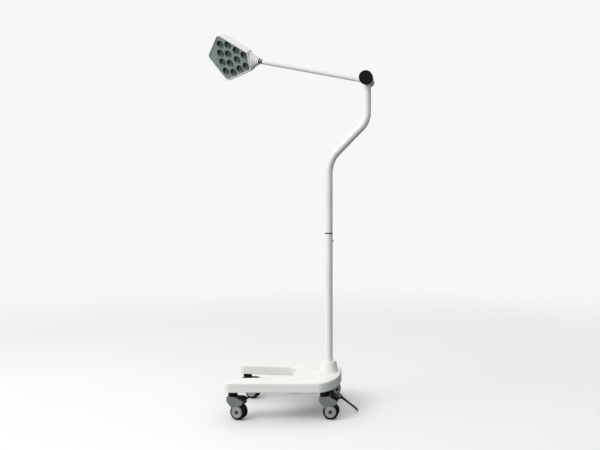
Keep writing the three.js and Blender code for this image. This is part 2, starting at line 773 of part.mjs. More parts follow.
function buildHead(head) {
  piece(head, "head_neck", neckShell(), WHITE_PLASTIC);

  const beyond = 400;
  const behindSplit = box([0, -beyond, HEAD_SPLIT], [beyond, beyond, HEAD_BACK + 10]);
  const beforeSplit = box([0, -beyond, HEAD_FRONT - 20], [beyond, beyond, HEAD_SPLIT - GAP]);
  const outside = headOutline(0);
  const whole = roundedPrism(outside, HEAD_FRONT, HEAD_BACK, HEAD_ROUND);

  const { x, halfLength, halfWidth, room } = SWITCH;
  const switchRoom = box(
    [x - halfLength - room, -halfWidth - GAP, 0],
    [x + halfLength + room, halfWidth + GAP, HEAD_BACK + 1],
  );
  const inside = prism(headOutline(HEAD_WALL), HEAD_SPLIT - 1, HEAD_BACK - HEAD_WALL);
  const rear = cut(whole, beforeSplit, box([0, -beyond, -60], [beyond, beyond, HEAD_SPLIT]));
  piece(head, "head_housing", cut(rear, inside, switchRoom), WHITE_PLASTIC);

  const opening = prism(headOutline(BEZEL_RIM), HEAD_FRONT - 1, HEAD_SPLIT + 1);
  const rebate = prism(headOutline(BEZEL_RIM - 4), HEAD_FRONT + 3.3, HEAD_SPLIT + 1);
  const bezel = cut(whole, behindSplit, box([0, -beyond, HEAD_SPLIT - GAP], [beyond, beyond, 60]));
  piece(head, "head_bezel", cut(bezel, opening, rebate), WHITE_PLASTIC);

  const lensFace = HEAD_FRONT + 3.3 + GAP;
  const plate = prism(headOutline(BEZEL_RIM - 4 + GAP), lensFace, lensFace + 2.5);
  const centres = LENS_ROWS.flatMap(({ x: rowX, across }) =>
    across.map((y) => [rowX - LENS_BOW * y * y, y]),
  );
  const domes = centres.map(([lensX, lensY]) =>
    turned(
      [
        [0, lensFace - LENS.height],
        [LENS.radius * 0.7, lensFace - LENS.height * 0.6],
        [LENS.radius, lensFace + 1],
        [0, lensFace + 1],
      ],
      10,
    ).translate(lensX, lensY, 0),
  );
  piece(head, "lens_array", join(plate, ...domes), CLEAR_PLASTIC);

  const board = prism(headOutline(HEAD_WALL + 1), 0, 2);
  const leds = centres.map(([ledX, ledY]) => box([ledX - 3, ledY - 3, -1.5], [ledX + 3, ledY + 3, 1]));
  piece(head, "led_board", join(board, ...leds), CIRCUIT_BOARD);

  const rocker = group(head, [x, 0, HEAD_BACK - 3]);
  rocker.rotation.y = radians(-SWITCH.rock);
  const button = box([-halfLength, -halfWidth, -5], [halfLength, halfWidth, 4.5]);
  piece(rocker, "power_switch", button, BLACK_PLASTIC);
}

// ---------------------------------------------------------------- mains lead

function cordTube(route, steps) {
  const points = route.map((point) => new THREE.Vector3(...point));
  const path = new THREE.CatmullRomCurve3(points, false, "centripetal");
  const section = new THREE.Shape(circle(CORD.radius, CORD.sides));
  return new THREE.ExtrudeGeometry(section, { steps, extrudePath: path, bevelEnabled: false });
}

function buildLead(frame) {
  const { x, y, bottom, top, thread } = GLAND;
  const gland = turned(
    [
      [0, bottom],
      [4.8, bottom],
      [7, 119],
      [12, 119.3],
      [12, BASE_BOTTOM - GAP],
      [thread, BASE_BOTTOM - GAP],
      [thread, top],
      [0, top],
    ],
    16,
  );
  piece(frame, "cord_gland", gland.translate(x, y, 0), BLACK_PLASTIC);
  piece(frame, "power_cord", cordTube(CORD_ROUTE, CORD.steps), BLACK_RUBBER);
  piece(frame, "power_cord_tail", cordTube(TAIL_ROUTE, CORD.tailSteps), BLACK_RUBBER);

  const { inner, outer, shoulder, top: coilTop } = COIL;
  const coil = turned(
    [
      [inner, COIL.bottom],
      [outer, COIL.bottom],
      [outer, shoulder],
      [outer - 4, coilTop],
      [inner + 4, coilTop],
      [inner, shoulder],
      [inner, COIL.bottom],
    ],
    24,
  );
  piece(frame, "power_cord_coil", coil.translate(COIL.x, COIL.y, 0), BLACK_RUBBER);

  const { halfLength, halfWidth, halfHeight } = PLUG;
  const plug = join(
    box([-halfLength, -halfWidth, -halfHeight], [halfLength, halfWidth, halfHeight]),
    turned([[0, 15], [8, 15], [4.8, halfLength + PLUG_BOOT], [0, halfLength + PLUG_BOOT]], 12, "x"),
    rod(2.4, -halfLength - 19, -15, 10, "x").translate(0, 9.5, 0),
    rod(2.4, -halfLength - 19, -15, 10, "x").translate(0, -9.5, 0),
  );
  piece(frame, "power_plug", plug.translate(PLUG.x, PLUG.y, PLUG.z), BLACK_PLASTIC);
}

// ---------------------------------------------------------------- the whole lamp

const lamp = new THREE.Group();
const frame = group(lamp, [COLUMN.x, COLUMN.y, 0]);
buildBase(frame);
for (const [place, settings] of Object.entries(CASTOR_PLACES)) buildCastor(frame, place, settings);
const elbow = buildElbow(buildMast(frame));
buildHead(buildWrist(buildArm(elbow)));
buildLead(frame);

export default lamp;
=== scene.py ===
# %% [markdown]
# # A mobile examination lamp, modelled in cells
#
# The lamp stands on a U-shaped base with four braked castors. A gooseneck mast carries an arm on a
# clamped elbow, and a five-sided LED head hangs on a ball joint at the arm's end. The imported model
# gives the fixed frame: bodies, joints and their places come from it, and each cell names its own
# sizes.

# %% Load the fixed frame
import json
import math
from contextlib import contextmanager

import bmesh
import bpy
from mathutils import Matrix, Vector


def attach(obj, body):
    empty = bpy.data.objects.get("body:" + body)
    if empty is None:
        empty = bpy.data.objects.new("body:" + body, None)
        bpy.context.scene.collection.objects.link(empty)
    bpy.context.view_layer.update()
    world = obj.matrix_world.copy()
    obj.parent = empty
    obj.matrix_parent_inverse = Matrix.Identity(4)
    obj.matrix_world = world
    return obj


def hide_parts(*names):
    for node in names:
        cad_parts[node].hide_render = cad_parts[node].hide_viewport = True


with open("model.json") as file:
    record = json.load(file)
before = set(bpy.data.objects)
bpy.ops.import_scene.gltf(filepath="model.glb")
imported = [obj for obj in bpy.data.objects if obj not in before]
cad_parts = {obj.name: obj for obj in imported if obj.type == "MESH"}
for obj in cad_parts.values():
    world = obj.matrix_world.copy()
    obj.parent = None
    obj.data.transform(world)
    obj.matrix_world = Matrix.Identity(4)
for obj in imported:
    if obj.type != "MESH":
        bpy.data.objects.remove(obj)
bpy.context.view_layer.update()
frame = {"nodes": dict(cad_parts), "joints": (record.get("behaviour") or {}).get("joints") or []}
bpy.ops.object.select_all(action="DESELECT")
print("nodes in the frame:", len(frame["nodes"]))

# %% [markdown]
# ## Places
#
# A piece is modelled in its maker's own frame, in millimetres turned into metres, with the origin
# where a person at the bench would measure from. A matrix then carries it to its place. The joints
# of the frame give those matrices, so that nothing has to be fitted by eye. The other way would be
# to model each piece straight in the room, which makes every slanted piece awkward to build.

# %% Frames of the base, mast, elbow, arm and head
MM = 0.001
UP = Vector((0, 0, 1))
joints = {joint["name"]: joint for joint in frame["joints"]}


def spot(joint):
    return Vector(joints[joint]["pos_m"])


def axis(joint):
    return Vector(joints[joint]["axis"]).normalized()


def standing(origin, along, across):
    """The matrix of a frame whose X runs along and whose Y runs across."""
    along, across = along.normalized(), across.normalized()
    turn = Matrix((along, across, along.cross(across))).transposed()
    return Matrix.Translation(origin) @ turn.to_4x4()


column = Vector((*spot("mast_swivel").xy, 0))
elbow_axis = axis("elbow_tilt")
BASE_FRAME = Matrix.Translation(column)
MAST_FRAME = standing(column, elbow_axis.cross(UP), elbow_axis)
ELBOW_FRAME = standing(spot("elbow_tilt"), elbow_axis.cross(UP), elbow_axis)
ARM_FRAME = standing(spot("elbow_tilt"), axis("wrist_roll"), -elbow_axis)
WRIST_FRAME = standing(spot("wrist_roll"), axis("wrist_roll"), -elbow_axis)
HEAD_FRAME = standing(spot("head_roll"), axis("head_roll"), axis("switch_rock"))
print("elbow height:", round(spot("elbow_tilt").z, 3), "wrist:", [round(v, 3) for v in spot("wrist_roll")])

# %% [markdown]
# ## The camera
#
# The lamp is seen from the front, a little right of the room's middle, with the eye half way up the
# lamp and level, so that upright poles stay upright. A small shift brings the lamp to its place in
# the frame without tilting the lens.

# %% Camera
CAMERA_PLACE = (0.429, -3.280, 0.950)
SENSOR_WIDTH, FOCAL_LENGTH = 36, 39
SHIFT_X, SHIFT_Y = -0.12, -0.0117

bpy.ops.object.camera_add(location=CAMERA_PLACE, rotation=(math.radians(90), 0, 0))
camera = bpy.context.object
camera.data.sensor_width = SENSOR_WIDTH
camera.data.lens = FOCAL_LENGTH
camera.data.shift_x = SHIFT_X
camera.data.shift_y = SHIFT_Y
bpy.context.scene.camera = camera
print("camera height:", camera.location.z)

# %% [markdown]
# ## Finishes
#
# Each finish is a small node tree on the Principled shader. Moulded plastic and powder coat are
# never one even colour: a large soft mottle moves the colour a little, and a fine grain gives the
# surface its skin through a bump. Both read Object coordinates, so that the pattern keeps its real
# size and stays on the piece. Painted textures would do the same, but they need an image.

# %% A finish with a mottle and a grain
RAMP_STOPS = (0.3, 0.7)
PATCHES_PER_MOTTLE = 7
GRAIN_STRENGTH = 0.35
finishes = {}


def fill(target, inputs):
    """Gives each of these inputs of a node its value, or a link from another node's socket."""
    for name, value in inputs.items():
        if isinstance(value, bpy.types.NodeSocket):
            target.id_data.links.new(value, target.inputs[name])
        else:
            target.inputs[name].default_value = value
    return target


def node(tree, kind, inputs, **settings):
    made = tree.nodes.new(kind)
    for setting, value in settings.items():
        setattr(made, setting, value)
    return fill(made, inputs)


def noise(tree, scale, detail, stretch=(1, 1, 1)):
    place = node(tree, "ShaderNodeTexCoord", {}).outputs["Object"]
    mapped = node(tree, "ShaderNodeMapping", {"Vector": place, "Scale": stretch}).outputs["Vector"]
    pattern = node(tree, "ShaderNodeTexNoise", {"Vector": mapped, "Scale": scale, "Detail": detail})
    return pattern.outputs["Fac"]


def ramp(tree, pattern, low, high):
    """Turns a pattern into colours from low to high, over the middle of its range."""
    blend = node(tree, "ShaderNodeValToRGB", {"Fac": pattern})
    for stop, position, colour in zip(blend.color_ramp.elements, RAMP_STOPS, (low, high)):
        stop.position = position
        stop.color = colour
    return blend.outputs["Color"]


def shader_of(material):
    return material.node_tree.nodes["Principled BSDF"]


def finish(name, dark, light, rough, grain, grain_depth, mottle, stretch=(1, 1, 1), metal=0.0):
    """rough is the roughness of the smoothest and the dullest patches; grain is patches per metre."""
    material = bpy.data.materials.new(name)
    material.use_nodes = True
    tree = material.node_tree
    colour = ramp(tree, noise(tree, mottle, detail=3), (*dark, 1), (*light, 1))
    smooth, dull = ((value, value, value, 1) for value in rough)
    patches = noise(tree, mottle * PATCHES_PER_MOTTLE, 4, stretch)
    height = noise(tree, grain, 2, stretch)
    skin = {"Strength": GRAIN_STRENGTH, "Distance": grain_depth, "Height": height}
    fill(shader_of(material), {
        "Metallic": metal,
        "Base Color": colour,
        "Roughness": ramp(tree, patches, smooth, dull),
        "Normal": node(tree, "ShaderNodeBump", skin).outputs["Normal"],
    })
    finishes[name] = material
    return material


# %% [markdown]
# The whites come first. The base, the collar and the head are moulded in an off-white plastic with
# a satin skin. The tubes are steel with a white powder coat, which is a little glossier and has the
# orange peel that powder leaves. A thin clear coat on the shader gives that skin its highlight.

# %% White finishes
white_moulding = finish(
    "satin_white_moulding", (0.80, 0.79, 0.765), (0.86, 0.85, 0.83), (0.36, 0.48), 900, 0.00005,
    mottle=5,
)
powder_coat = finish(
    "white_powder_coat", (0.80, 0.79, 0.775), (0.85, 0.84, 0.825), (0.26, 0.36), 420, 0.00008,
    mottle=7,
)
fill(shader_of(powder_coat), {"Coat Weight": 0.25, "Coat Roughness": 0.2})
print("white finishes:", len(finishes))

# %% [markdown]
# The greys and blacks follow: glass-filled nylon for the castors, paler on the wheels and cheeks,
# black moulded plastic for knob, pedals and joints, and rubber for the tyres and the lead. What holds
# them together is zinc-plated steel, its patches stretched along Z as the plating bath leaves them,
# and the castors' axles are blackened. Plastic and rubber get little specular, to stay deep black.

# %% Grey, black and metal finishes
grey_nylon = finish(
    "grey_castor_nylon", (0.135, 0.15, 0.14), (0.19, 0.205, 0.19), (0.42, 0.58), 1300, 0.0002,
    mottle=30,
)
wheel_nylon = finish(
    "pale_wheel_nylon", (0.27, 0.275, 0.255), (0.35, 0.355, 0.33), (0.42, 0.58), 1300, 0.0002,
    mottle=30,
)
black_moulding = finish(
    "black_moulded_plastic", (0.003, 0.003, 0.003), (0.007, 0.007, 0.007), (0.42, 0.56), 1500, 0.0002,
    mottle=40,
)
tyre_rubber = finish(
    "black_tyre_rubber", (0.005, 0.005, 0.005), (0.013, 0.0125, 0.012), (0.55, 0.75), 1800, 0.0003,
    mottle=45,
)
cord_rubber = finish(
    "black_cord_sheath", (0.009, 0.009, 0.010), (0.017, 0.017, 0.018), (0.48, 0.62), 1600, 0.0002,
    mottle=35,
)
zinc_plate = finish(
    "zinc_plated_steel", (0.50, 0.51, 0.52), (0.64, 0.65, 0.66), (0.28, 0.45), 700, 0.0001,
    mottle=25, stretch=(1, 1, 0.2), metal=1.0,
)
blackened_steel = finish(
    "blackened_axle_steel", (0.010, 0.010, 0.011), (0.020, 0.020, 0.021), (0.35, 0.5), 900, 0.0001,
    mottle=60, metal=0.4,
)
for dull in (black_moulding, tyre_rubber, cord_rubber):
    fill(shader_of(dull), {"Specular IOR Level": 0.11})
print("finishes so far:", sorted(finishes))

# %% [markdown]
# The lamp head has finishes of its own: a grey-green lens sheet with a gloss, deep green-black
# mirrors round each light source, dull yellow phosphor on the light sources, and the green-white
# solder mask of the circuit board behind them.

# %% Finishes of the head
lens_sheet = finish(
    "grey_green_lens_sheet", (0.185, 0.245, 0.235), (0.245, 0.305, 0.295), (0.2, 0.34), 500, 0.0002,
    mottle=18,
)
lens_mirror = finish(
    "dark_lens_mirror", (0.010, 0.024, 0.022), (0.024, 0.042, 0.039), (0.25, 0.4), 600, 0.0001,
    mottle=60,
)
fill(shader_of(lens_mirror), {"Coat Weight": 0.3})
phosphor = finish(
    "dull_yellow_phosphor", (0.045, 0.05, 0.028), (0.08, 0.085, 0.05), (0.3, 0.4), 3000, 0.0001,
    mottle=200,
)
solder_mask = finish(
    "pale_solder_mask", (0.44, 0.50, 0.45), (0.52, 0.58, 0.53), (0.3, 0.45), 1200, 0.0001,
    mottle=60,
)
print("all finishes:", len(finishes))

# %% [markdown]
# ## The bench tools
#
# A piece starts as a primitive and is shaped in edit mode. An operator acts on all that is
# selected, so the tools below open edit mode with nothing selected and then select by place or
# direction. Clicking would be quicker by hand, but a script has to say in words what it picks.

# %% Add a primitive, open edit mode, select by place
def add(primitive, **settings):
    bpy.ops.object.select_all(action="DESELECT")
    primitive(**settings)
    return bpy.context.object


def alone(piece):
    """Selects this piece and nothing else."""
    bpy.ops.object.select_all(action="DESELECT")
    piece.select_set(True)
    bpy.context.view_layer.objects.active = piece


@contextmanager
def editing(piece, select="FACE"):
    alone(piece)
    bpy.ops.object.mode_set(mode="EDIT")
    bpy.ops.mesh.select_mode(type=select)
    bpy.ops.mesh.select_all(action="DESELECT")
    yield
    bpy.ops.object.mode_set(mode="OBJECT")


def middle(element):
    if isinstance(element, bmesh.types.BMVert):
        return element.co.copy()
    return sum((vertex.co for vertex in element.verts), Vector()) / len(element.verts)


def pick(kind, test):
    """Selects only the verts, edges or faces that pass the test of (middle in mm, element)."""
    bpy.ops.mesh.select_all(action="DESELECT")
    mesh = bmesh.from_edit_mesh(bpy.context.edit_object.data)
    mesh.normal_update()
    chosen = [item for item in getattr(mesh, kind) if test(middle(item) / MM, item)]
    for item in chosen:
        item.select_set(True)
    mesh.select_flush_mode()
    bmesh.update_edit_mesh(bpy.context.edit_object.data)
    return len(chosen)


def facing(x=0, y=0, z=0):
    """Tests for the faces that look this way."""
    way = Vector((x, y, z))
    return lambda at, face: face.normal.dot(way) > 0.9


# %% [markdown]
# Most edges of the lamp are rounded, because sharp moulded or turned edges chip and catch dirt.
# `rounded` bevels picked edges. The Weighted Normal modifier that `mounted` adds further down keeps
# the shading of large flat faces straight next to such a bevel.

# %% Round edges, cut and finish
def rounded(piece, radius, test, steps=4):
    with editing(piece, "EDGE"):
        pick("edges", test)
        bpy.ops.mesh.bevel(offset=radius * MM, segments=steps, affect="EDGES", clamp_overlap=True)


def modified(piece, kind, **settings):
    """Adds one modifier, sets it and applies it."""
    alone(piece)
    modifier = piece.modifiers.new(kind.title(), kind)
    for setting, value in settings.items():
        setattr(modifier, setting, value)
    bpy.ops.object.modifier_apply(modifier=modifier.name)


def carved(piece, cutter, operation="DIFFERENCE"):
    modified(piece, "BOOLEAN", operation=operation, object=cutter, solver="EXACT")
    bpy.data.objects.remove(cutter)


def outward(piece):
    with editing(piece):
        bpy.ops.mesh.select_all(action="SELECT")
        bpy.ops.mesh.remove_doubles(threshold=0.00001)
        bpy.ops.mesh.normals_make_consistent(inside=False)
    return piece


# %% [markdown]
# A finished piece goes to its place, gets its finish, and rides on the body that it moves with. Its
# place is applied to its mesh, so that the object itself stays at the origin.


def mounted(piece, name, where, body, material, *nodes, angle=32):
    piece.name = name
    piece.data.name = name
    alone(piece)
    piece.matrix_world = where @ piece.matrix_world
    bpy.ops.object.transform_apply(location=True, rotation=True, scale=True)
    bpy.ops.object.shade_smooth_by_angle(angle=math.radians(angle))
    modified(piece, "WEIGHTED_NORMAL", keep_sharp=True, weight=50)
    piece.data.materials.clear()
    piece.data.materials.append(material)
    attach(piece, body)
    if nodes:
        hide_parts(*nodes)
    print(name, "faces:", len(piece.data.polygons))
    return piece


# %% [markdown]
# ## The mains lead
#
# A rubber-sheathed lead drops from the gland under the base, swings outwards in one slanting bend
# and comes back along the floor. It goes round the back of the base to its far side, where the rest
# is wound into a neat coil with the plug next to it. A curve with a round bevel is the natural way:
# its points are the route and its bevel is the thickness. The first points come straight down from
# the gland. A loop works out the coil's turns in three layers: inwards, outwards, and a last turn
# that closes in a little.

# %% Route of the lead
CORD_DIAMETER = 7
ROUTE = [
    (10, 0, 105.7), (10, 0, 98), (12.5, -1.7, 88), (19, -7, 78.5), (31, -16.5, 71), (50, -32.5, 64.5),
    (80, -58, 54), (101, -76, 45), (114.5, -86, 38), (126.5, -88, 29.5), (136.5, -84, 20.5),
    (143, -75.5, 12.5), (145.5, -63, 6.4), (143.5, -49, 3.8), (137, -27, 3.7), (122.5, 10, 3.7),
    (105, 54, 3.7), (83.5, 110, 3.7), (67, 155, 3.7), (55.5, 195, 3.7), (45, 232, 3.7), (28, 259, 3.7),
    (4, 273, 3.7), (-28, 277, 3.7), (-72.5, 276.5, 3.7),
]
TAIL = [(-134, 281, 17.6), (-143, 281, 16.4), (-153, 281, 13.2), (-160, 281, 11), (-165.4, 281, 10.6)]

COIL_CENTRE = (-100, 325)
COIL_RADII = (48.5, 30.3)
COIL_LAYERS = (3.7, 10.72, 17.7)
LAYER_TURNS = 2.6
CLIMB_TURNS = 0.4
LAST_RADIUS = 44
POINTS_PER_TURN = 16


def coil_place(turn):
    """Radius and height of the coil after that many turns."""
    wide, tight = COIL_RADII
    low, between, high = COIL_LAYERS
    stretch = LAYER_TURNS + CLIMB_TURNS
    if turn < LAYER_TURNS:
        return wide + (tight - wide) * turn / LAYER_TURNS, low
    if turn < stretch:
        return tight, low + (between - low) * (turn - LAYER_TURNS) / CLIMB_TURNS
    if turn < stretch + LAYER_TURNS:
        return tight + (wide - tight) * (turn - stretch) / LAYER_TURNS, between
    if turn < 2 * stretch:
        return wide, between + (high - between) * (turn - stretch - LAYER_TURNS) / CLIMB_TURNS
    return wide + (LAST_RADIUS - wide) * (turn - 2 * stretch), high


def coil_turns():
    turns = 2 * (LAYER_TURNS + CLIMB_TURNS) + 1
    points = []
    for step in range(int(turns * POINTS_PER_TURN) + 1):
        turn = step / POINTS_PER_TURN
        radius, height = coil_place(turn)
        angle = -math.pi / 2 - math.tau * turn
        x = COIL_CENTRE[0] + radius * math.cos(angle)
        y = COIL_CENTRE[1] + radius * math.sin(angle)
        points.append((x, y, height))
    return points


lead_points = [BASE_FRAME @ (Vector(point) * MM) for point in [*ROUTE, *coil_turns(), *TAIL]]
lead_length = sum((b - a).length for a, b in zip(lead_points, lead_points[1:]))
print("points on the lead:", len(lead_points), "length in metres:", round(lead_length, 3))

# %% The lead as a curve
bpy.ops.curve.primitive_bezier_curve_add(location=(0, 0, 0))
lead = bpy.context.object
lead.name = "mains_lead"
lead.data.splines.clear()
spline = lead.data.splines.new("BEZIER")
spline.bezier_points.add(len(lead_points) - 1)
for knot, point in zip(spline.bezier_points, lead_points):
    knot.co = point
    knot.handle_left_type = knot.handle_right_type = "AUTO"
spline.resolution_u = 5
lead.data.dimensions = "3D"
lead.data.bevel_depth = CORD_DIAMETER / 2 * MM
lead.data.bevel_resolution = 3
lead.data.use_fill_caps = True
lead.data.materials.append(cord_rubber)
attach(lead, "base")
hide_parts("power_cord", "power_cord_coil", "power_cord_tail")

# %% [markdown]
# The plug is a small moulded body with a stepped grip, a tapered boot for the lead, and two round
# pins. A box gets its rounded edges by a bevel, and the boot grows out of its end face by extruding
# and scaling, as one would pull it out by hand.

# %% The plug
PLUG_AT = Matrix.Translation((-202 * MM, 281 * MM, 10.6 * MM))
PLUG_HALF, PLUG_ROUND = (22, 13, 10.4), 2.2
BOOT_EDGE, BOOT_STEPS = 3.5, ((4, 0.9), (5, 0.8), (5, 0.8))
PIN_RADIUS, PIN_LENGTH, PIN_SPACING, PIN_TIP = 2.4, 19, 9.5, 1.2


def extruded(distance):
    bpy.ops.mesh.extrude_region_move(TRANSFORM_OT_translate={"value": [value * MM for value in distance]})


def inset(width, depth=0, **settings):
    bpy.ops.mesh.inset(thickness=width * MM, depth=depth * MM, **settings)


def scaled(x, y, z, centre=(0, 0, 0)):
    bpy.ops.transform.resize(value=(x, y, z), center_override=centre)


def block(size, at=(0, 0, 0), rotation=(0, 0, 0)):
    """A box of this size in mm, whose place isn't applied yet."""
    place = [value * MM for value in at]
    piece = add(bpy.ops.mesh.primitive_cube_add, size=1, location=place, rotation=rotation)
    piece.scale = [value * MM for value in size]
    return piece


def plug_body():
    body = block([2 * half for half in PLUG_HALF])
    bpy.ops.object.transform_apply(scale=True)
    with editing(body):
        pick("faces", facing(x=1))
        inset(BOOT_EDGE)
        for length, width in BOOT_STEPS:
            extruded((length, 0, 0))
            scaled(1, width, width)
    rounded(body, PLUG_ROUND, lambda at, edge: abs(at.x) > PLUG_HALF[0] - 2 or abs(at.x) < 1)
    return body


plug = mounted(plug_body(), "mains_plug", BASE_FRAME @ PLUG_AT, "base", black_moulding, "power_plug")


def plug_pin(side, word):
    place = (-(PLUG_HALF[0] + PIN_LENGTH / 2) * MM, side * PIN_SPACING * MM, 0)
    pin = add(
        bpy.ops.mesh.primitive_cylinder_add, vertices=24, radius=PIN_RADIUS * MM, depth=PIN_LENGTH * MM,
        location=place, rotation=(0, math.pi / 2, 0),
    )
    bpy.ops.object.transform_apply(location=True, rotation=True)
    rounded(pin, PIN_TIP, lambda at, edge: at.x < -PLUG_HALF[0] - PIN_LENGTH + 1, steps=3)
    return mounted(pin, "plug_pin_" + word, BASE_FRAME @ PLUG_AT, "base", zinc_plate)


pins = [plug_pin(side, word) for side, word in ((-1, "left"), (1, "right"))]

# %% [markdown]
# ## The base
#
# The base is one U-shaped moulding: two legs run forward, and the back is half an ellipse. Only one
# half is drawn, as a chain of points extruded from a quarter of an ellipse, and a Mirror modifier
# makes the other half, so both legs are truly alike. Filled, pulled up and rounded, it is then
# opened underneath and given its wall, as a moulded shell is.

# %% Outline of the base
BASE_FRONT, BASE_HALF_WIDTH = -478, 230
BASE_BOTTOM, BASE_TOP = 133, 180
REAR_CENTRE, REAR_REACH = -38, 101
SLOT_FRONT_HALF, SLOT_END, SLOT_END_HALF = 142, -168, 104
LEG_CORNER, SLOT_CORNER = 28, 45
CORNERS = (
    ((BASE_FRONT, BASE_HALF_WIDTH), LEG_CORNER),
    ((BASE_FRONT, SLOT_FRONT_HALF), LEG_CORNER),
    ((SLOT_END, SLOT_END_HALF), SLOT_CORNER),
)


def tangent_length(vertex, radius):
    """How far from a corner an arc of that radius starts."""
    first, second = (edge.other_vert(vertex).co - vertex.co for edge in vertex.link_edges[:2])
    return radius * MM / math.tan(first.angle(second) / 2)


def round_corner(point, radius, steps=8):
    """Rounds the corner of the flat outline in edit mode that lies at this point."""
    bpy.ops.mesh.select_mode(type="VERT")
    pick("verts", lambda at, vertex: (at.xy - Vector(point)).length < 0.5)
    mesh = bmesh.from_edit_mesh(bpy.context.edit_object.data)
    corner = next(vertex for vertex in mesh.verts if vertex.select)
    bpy.ops.mesh.bevel(offset=tangent_length(corner, radius), segments=steps, affect="VERTICES")


def base_outline():
    outline = add(bpy.ops.mesh.primitive_circle_add, vertices=96, radius=1)
    outline.scale = (REAR_REACH * MM, BASE_HALF_WIDTH * MM, 1)
    outline.location = (REAR_CENTRE * MM, 0, BASE_BOTTOM * MM)
    bpy.ops.object.transform_apply(location=True, scale=True)
    with editing(outline, "VERT"):
        pick("verts", lambda at, vertex: at.x < REAR_CENTRE - 0.01 or at.y < -0.01)
        bpy.ops.mesh.delete(type="VERT")
        pick("verts", lambda at, vertex: at.x < REAR_CENTRE + 0.01)
        here = Vector((REAR_CENTRE, BASE_HALF_WIDTH))
        for corner in (*(point for point, _ in CORNERS), (SLOT_END, 0)):
            step = Vector(corner) - here
            extruded((*step, 0))
            here = Vector(corner)
    return outline


base = base_outline()
with editing(base, "VERT"):
    for point, radius in CORNERS:
        round_corner(point, radius)
modified(base, "MIRROR", use_axis=(False, True, False), merge_threshold=0.0001)
print("points on the base's outline:", len(base.data.vertices))

# %% Pull the base up, round it and hollow it
BASE_ROUND, BASE_FOOT_ROUND, BASE_WALL = 9, 2.5, 6
LARGE_AREA = 0.01


def large_face(sign):
    """Tests for the large flat faces that look up (1) or down (-1)."""
    return lambda at, face: face.normal.z * sign > 0.99 and face.calc_area() > LARGE_AREA


with editing(base, "EDGE"):
    bpy.ops.mesh.select_all(action="SELECT")
    bpy.ops.mesh.edge_face_add()
    extruded((0, 0, BASE_TOP - BASE_BOTTOM))
outward(base)
rounded(base, BASE_ROUND, lambda at, edge: at.z > BASE_TOP - 0.1, steps=7)
rounded(base, BASE_FOOT_ROUND, lambda at, edge: at.z < BASE_BOTTOM + 0.1, steps=3)
with editing(base):
    pick("faces", large_face(-1))
    bpy.ops.mesh.delete(type="FACE")
modified(base, "SOLIDIFY", thickness=BASE_WALL * MM, offset=-1)
mounted(base, "base_moulding", BASE_FRAME, "base", white_moulding, "base_shell")

# %% [markdown]
# ## Turned and drawn pieces
#
# Collar, poles, ring and knuckles are all round. `bar` adds a cylinder that lies along one axis
# between two places, and `bored` insets both ends and bridges them, which turns it into a tube with
# a real wall. Spinning a profile would give the same, but a cylinder keeps its ends clean.

# %% Bars and tubes
TURNS = {"x": (0, math.pi / 2, 0), "y": (math.pi / 2, 0, 0), "z": (0, 0, 0)}


def bar(radius, start, end, along="z", sides=64, at=(0, 0, 0), taper=None):
    place = Vector(at) * MM
    place["xyz".index(along)] += (start + end) / 2 * MM
    piece = add(
        bpy.ops.mesh.primitive_cone_add, vertices=sides, radius1=radius * MM,
        radius2=(radius if taper is None else taper) * MM, depth=(end - start) * MM, location=place,
        rotation=TURNS[along],
    )
    bpy.ops.object.transform_apply(location=True, rotation=True)
    return piece


def end_faces(along):
    return lambda at, face: abs(face.normal["xyz".index(along)]) > 0.99 and len(face.verts) > 8


def bored(piece, wall, along="z"):
    with editing(piece):
        pick("faces", end_faces(along))
        inset(wall)
        bpy.ops.mesh.bridge_edge_loops()
    return piece


def rim(along, *places, inner=0.0):
    """Tests for the edges that run round the axis at one of these places, outside an inner radius."""
    index = "xyz".index(along)

    def test(at, edge):
        ends = [vertex.co / MM for vertex in edge.verts]
        if not any(all(abs(end[index] - place) <= 0.05 for end in ends) for place in places):
            return False
        radius = math.hypot(*(value for number, value in enumerate(ends[0]) if number != index))
        return radius > inner

    return test


# %% [markdown]
# The collar is a low cone that covers the flange and steadies the pole. Its foot flares a little
# onto the base, and its top edge is well rounded.

# %% The collar
GAP = 0.3
COLLAR_FOOT, COLLAR_TOP, COLLAR_HEIGHT = 46, 37, 54
COLLAR_ROUND, COLLAR_LIP, COLLAR_SOCKET = 6, 1, 20
POLE_RADIUS, POLE_BORE = 19, 16

collar = bar(COLLAR_FOOT, BASE_TOP + GAP, BASE_TOP + COLLAR_HEIGHT, taper=COLLAR_TOP, sides=96)
with editing(collar):
    pick("faces", facing(z=1))
    inset(COLLAR_TOP - POLE_RADIUS - 2 * GAP)
    extruded((0, 0, -COLLAR_SOCKET))
rounded(collar, COLLAR_ROUND, rim("z", BASE_TOP + COLLAR_HEIGHT, inner=30), steps=6)
rounded(collar, COLLAR_LIP, rim("z", BASE_TOP + COLLAR_HEIGHT), steps=2)
mounted(collar, "column_collar_cover", BASE_FRAME, "base", white_moulding, "column_collar")

# %% [markdown]
# ## The mast
#
# The lower pole is a straight tube. The upper one is bent twice: it starts as a ring of points, is
# drawn up, spun round the centre of the first bend, drawn on, spun back, and drawn up again. That
# is how a bending machine makes it, and the wall is added last by a Solidify modifier.

# %% Lower pole, ring and screw
LOWER_POLE_FOOT, LOWER_POLE_TOP = 147, 870
RING_HEIGHT, RING_WALL = 6, 4
RING_ENDS = (LOWER_POLE_TOP + GAP, LOWER_POLE_TOP + RING_HEIGHT - GAP)
SCREW_HEIGHT, SCREW_RADIUS, SCREW_HEAD, SCREW_SOCKET = 834, 4.5, 4, 2

lower_pole = bored(bar(POLE_RADIUS, LOWER_POLE_FOOT, LOWER_POLE_TOP), POLE_RADIUS - POLE_BORE)
rounded(lower_pole, 0.8, rim("z", LOWER_POLE_TOP, inner=18), steps=2)
mounted(lower_pole, "lower_pole_tube", BASE_FRAME, "base", powder_coat, "lower_pole")

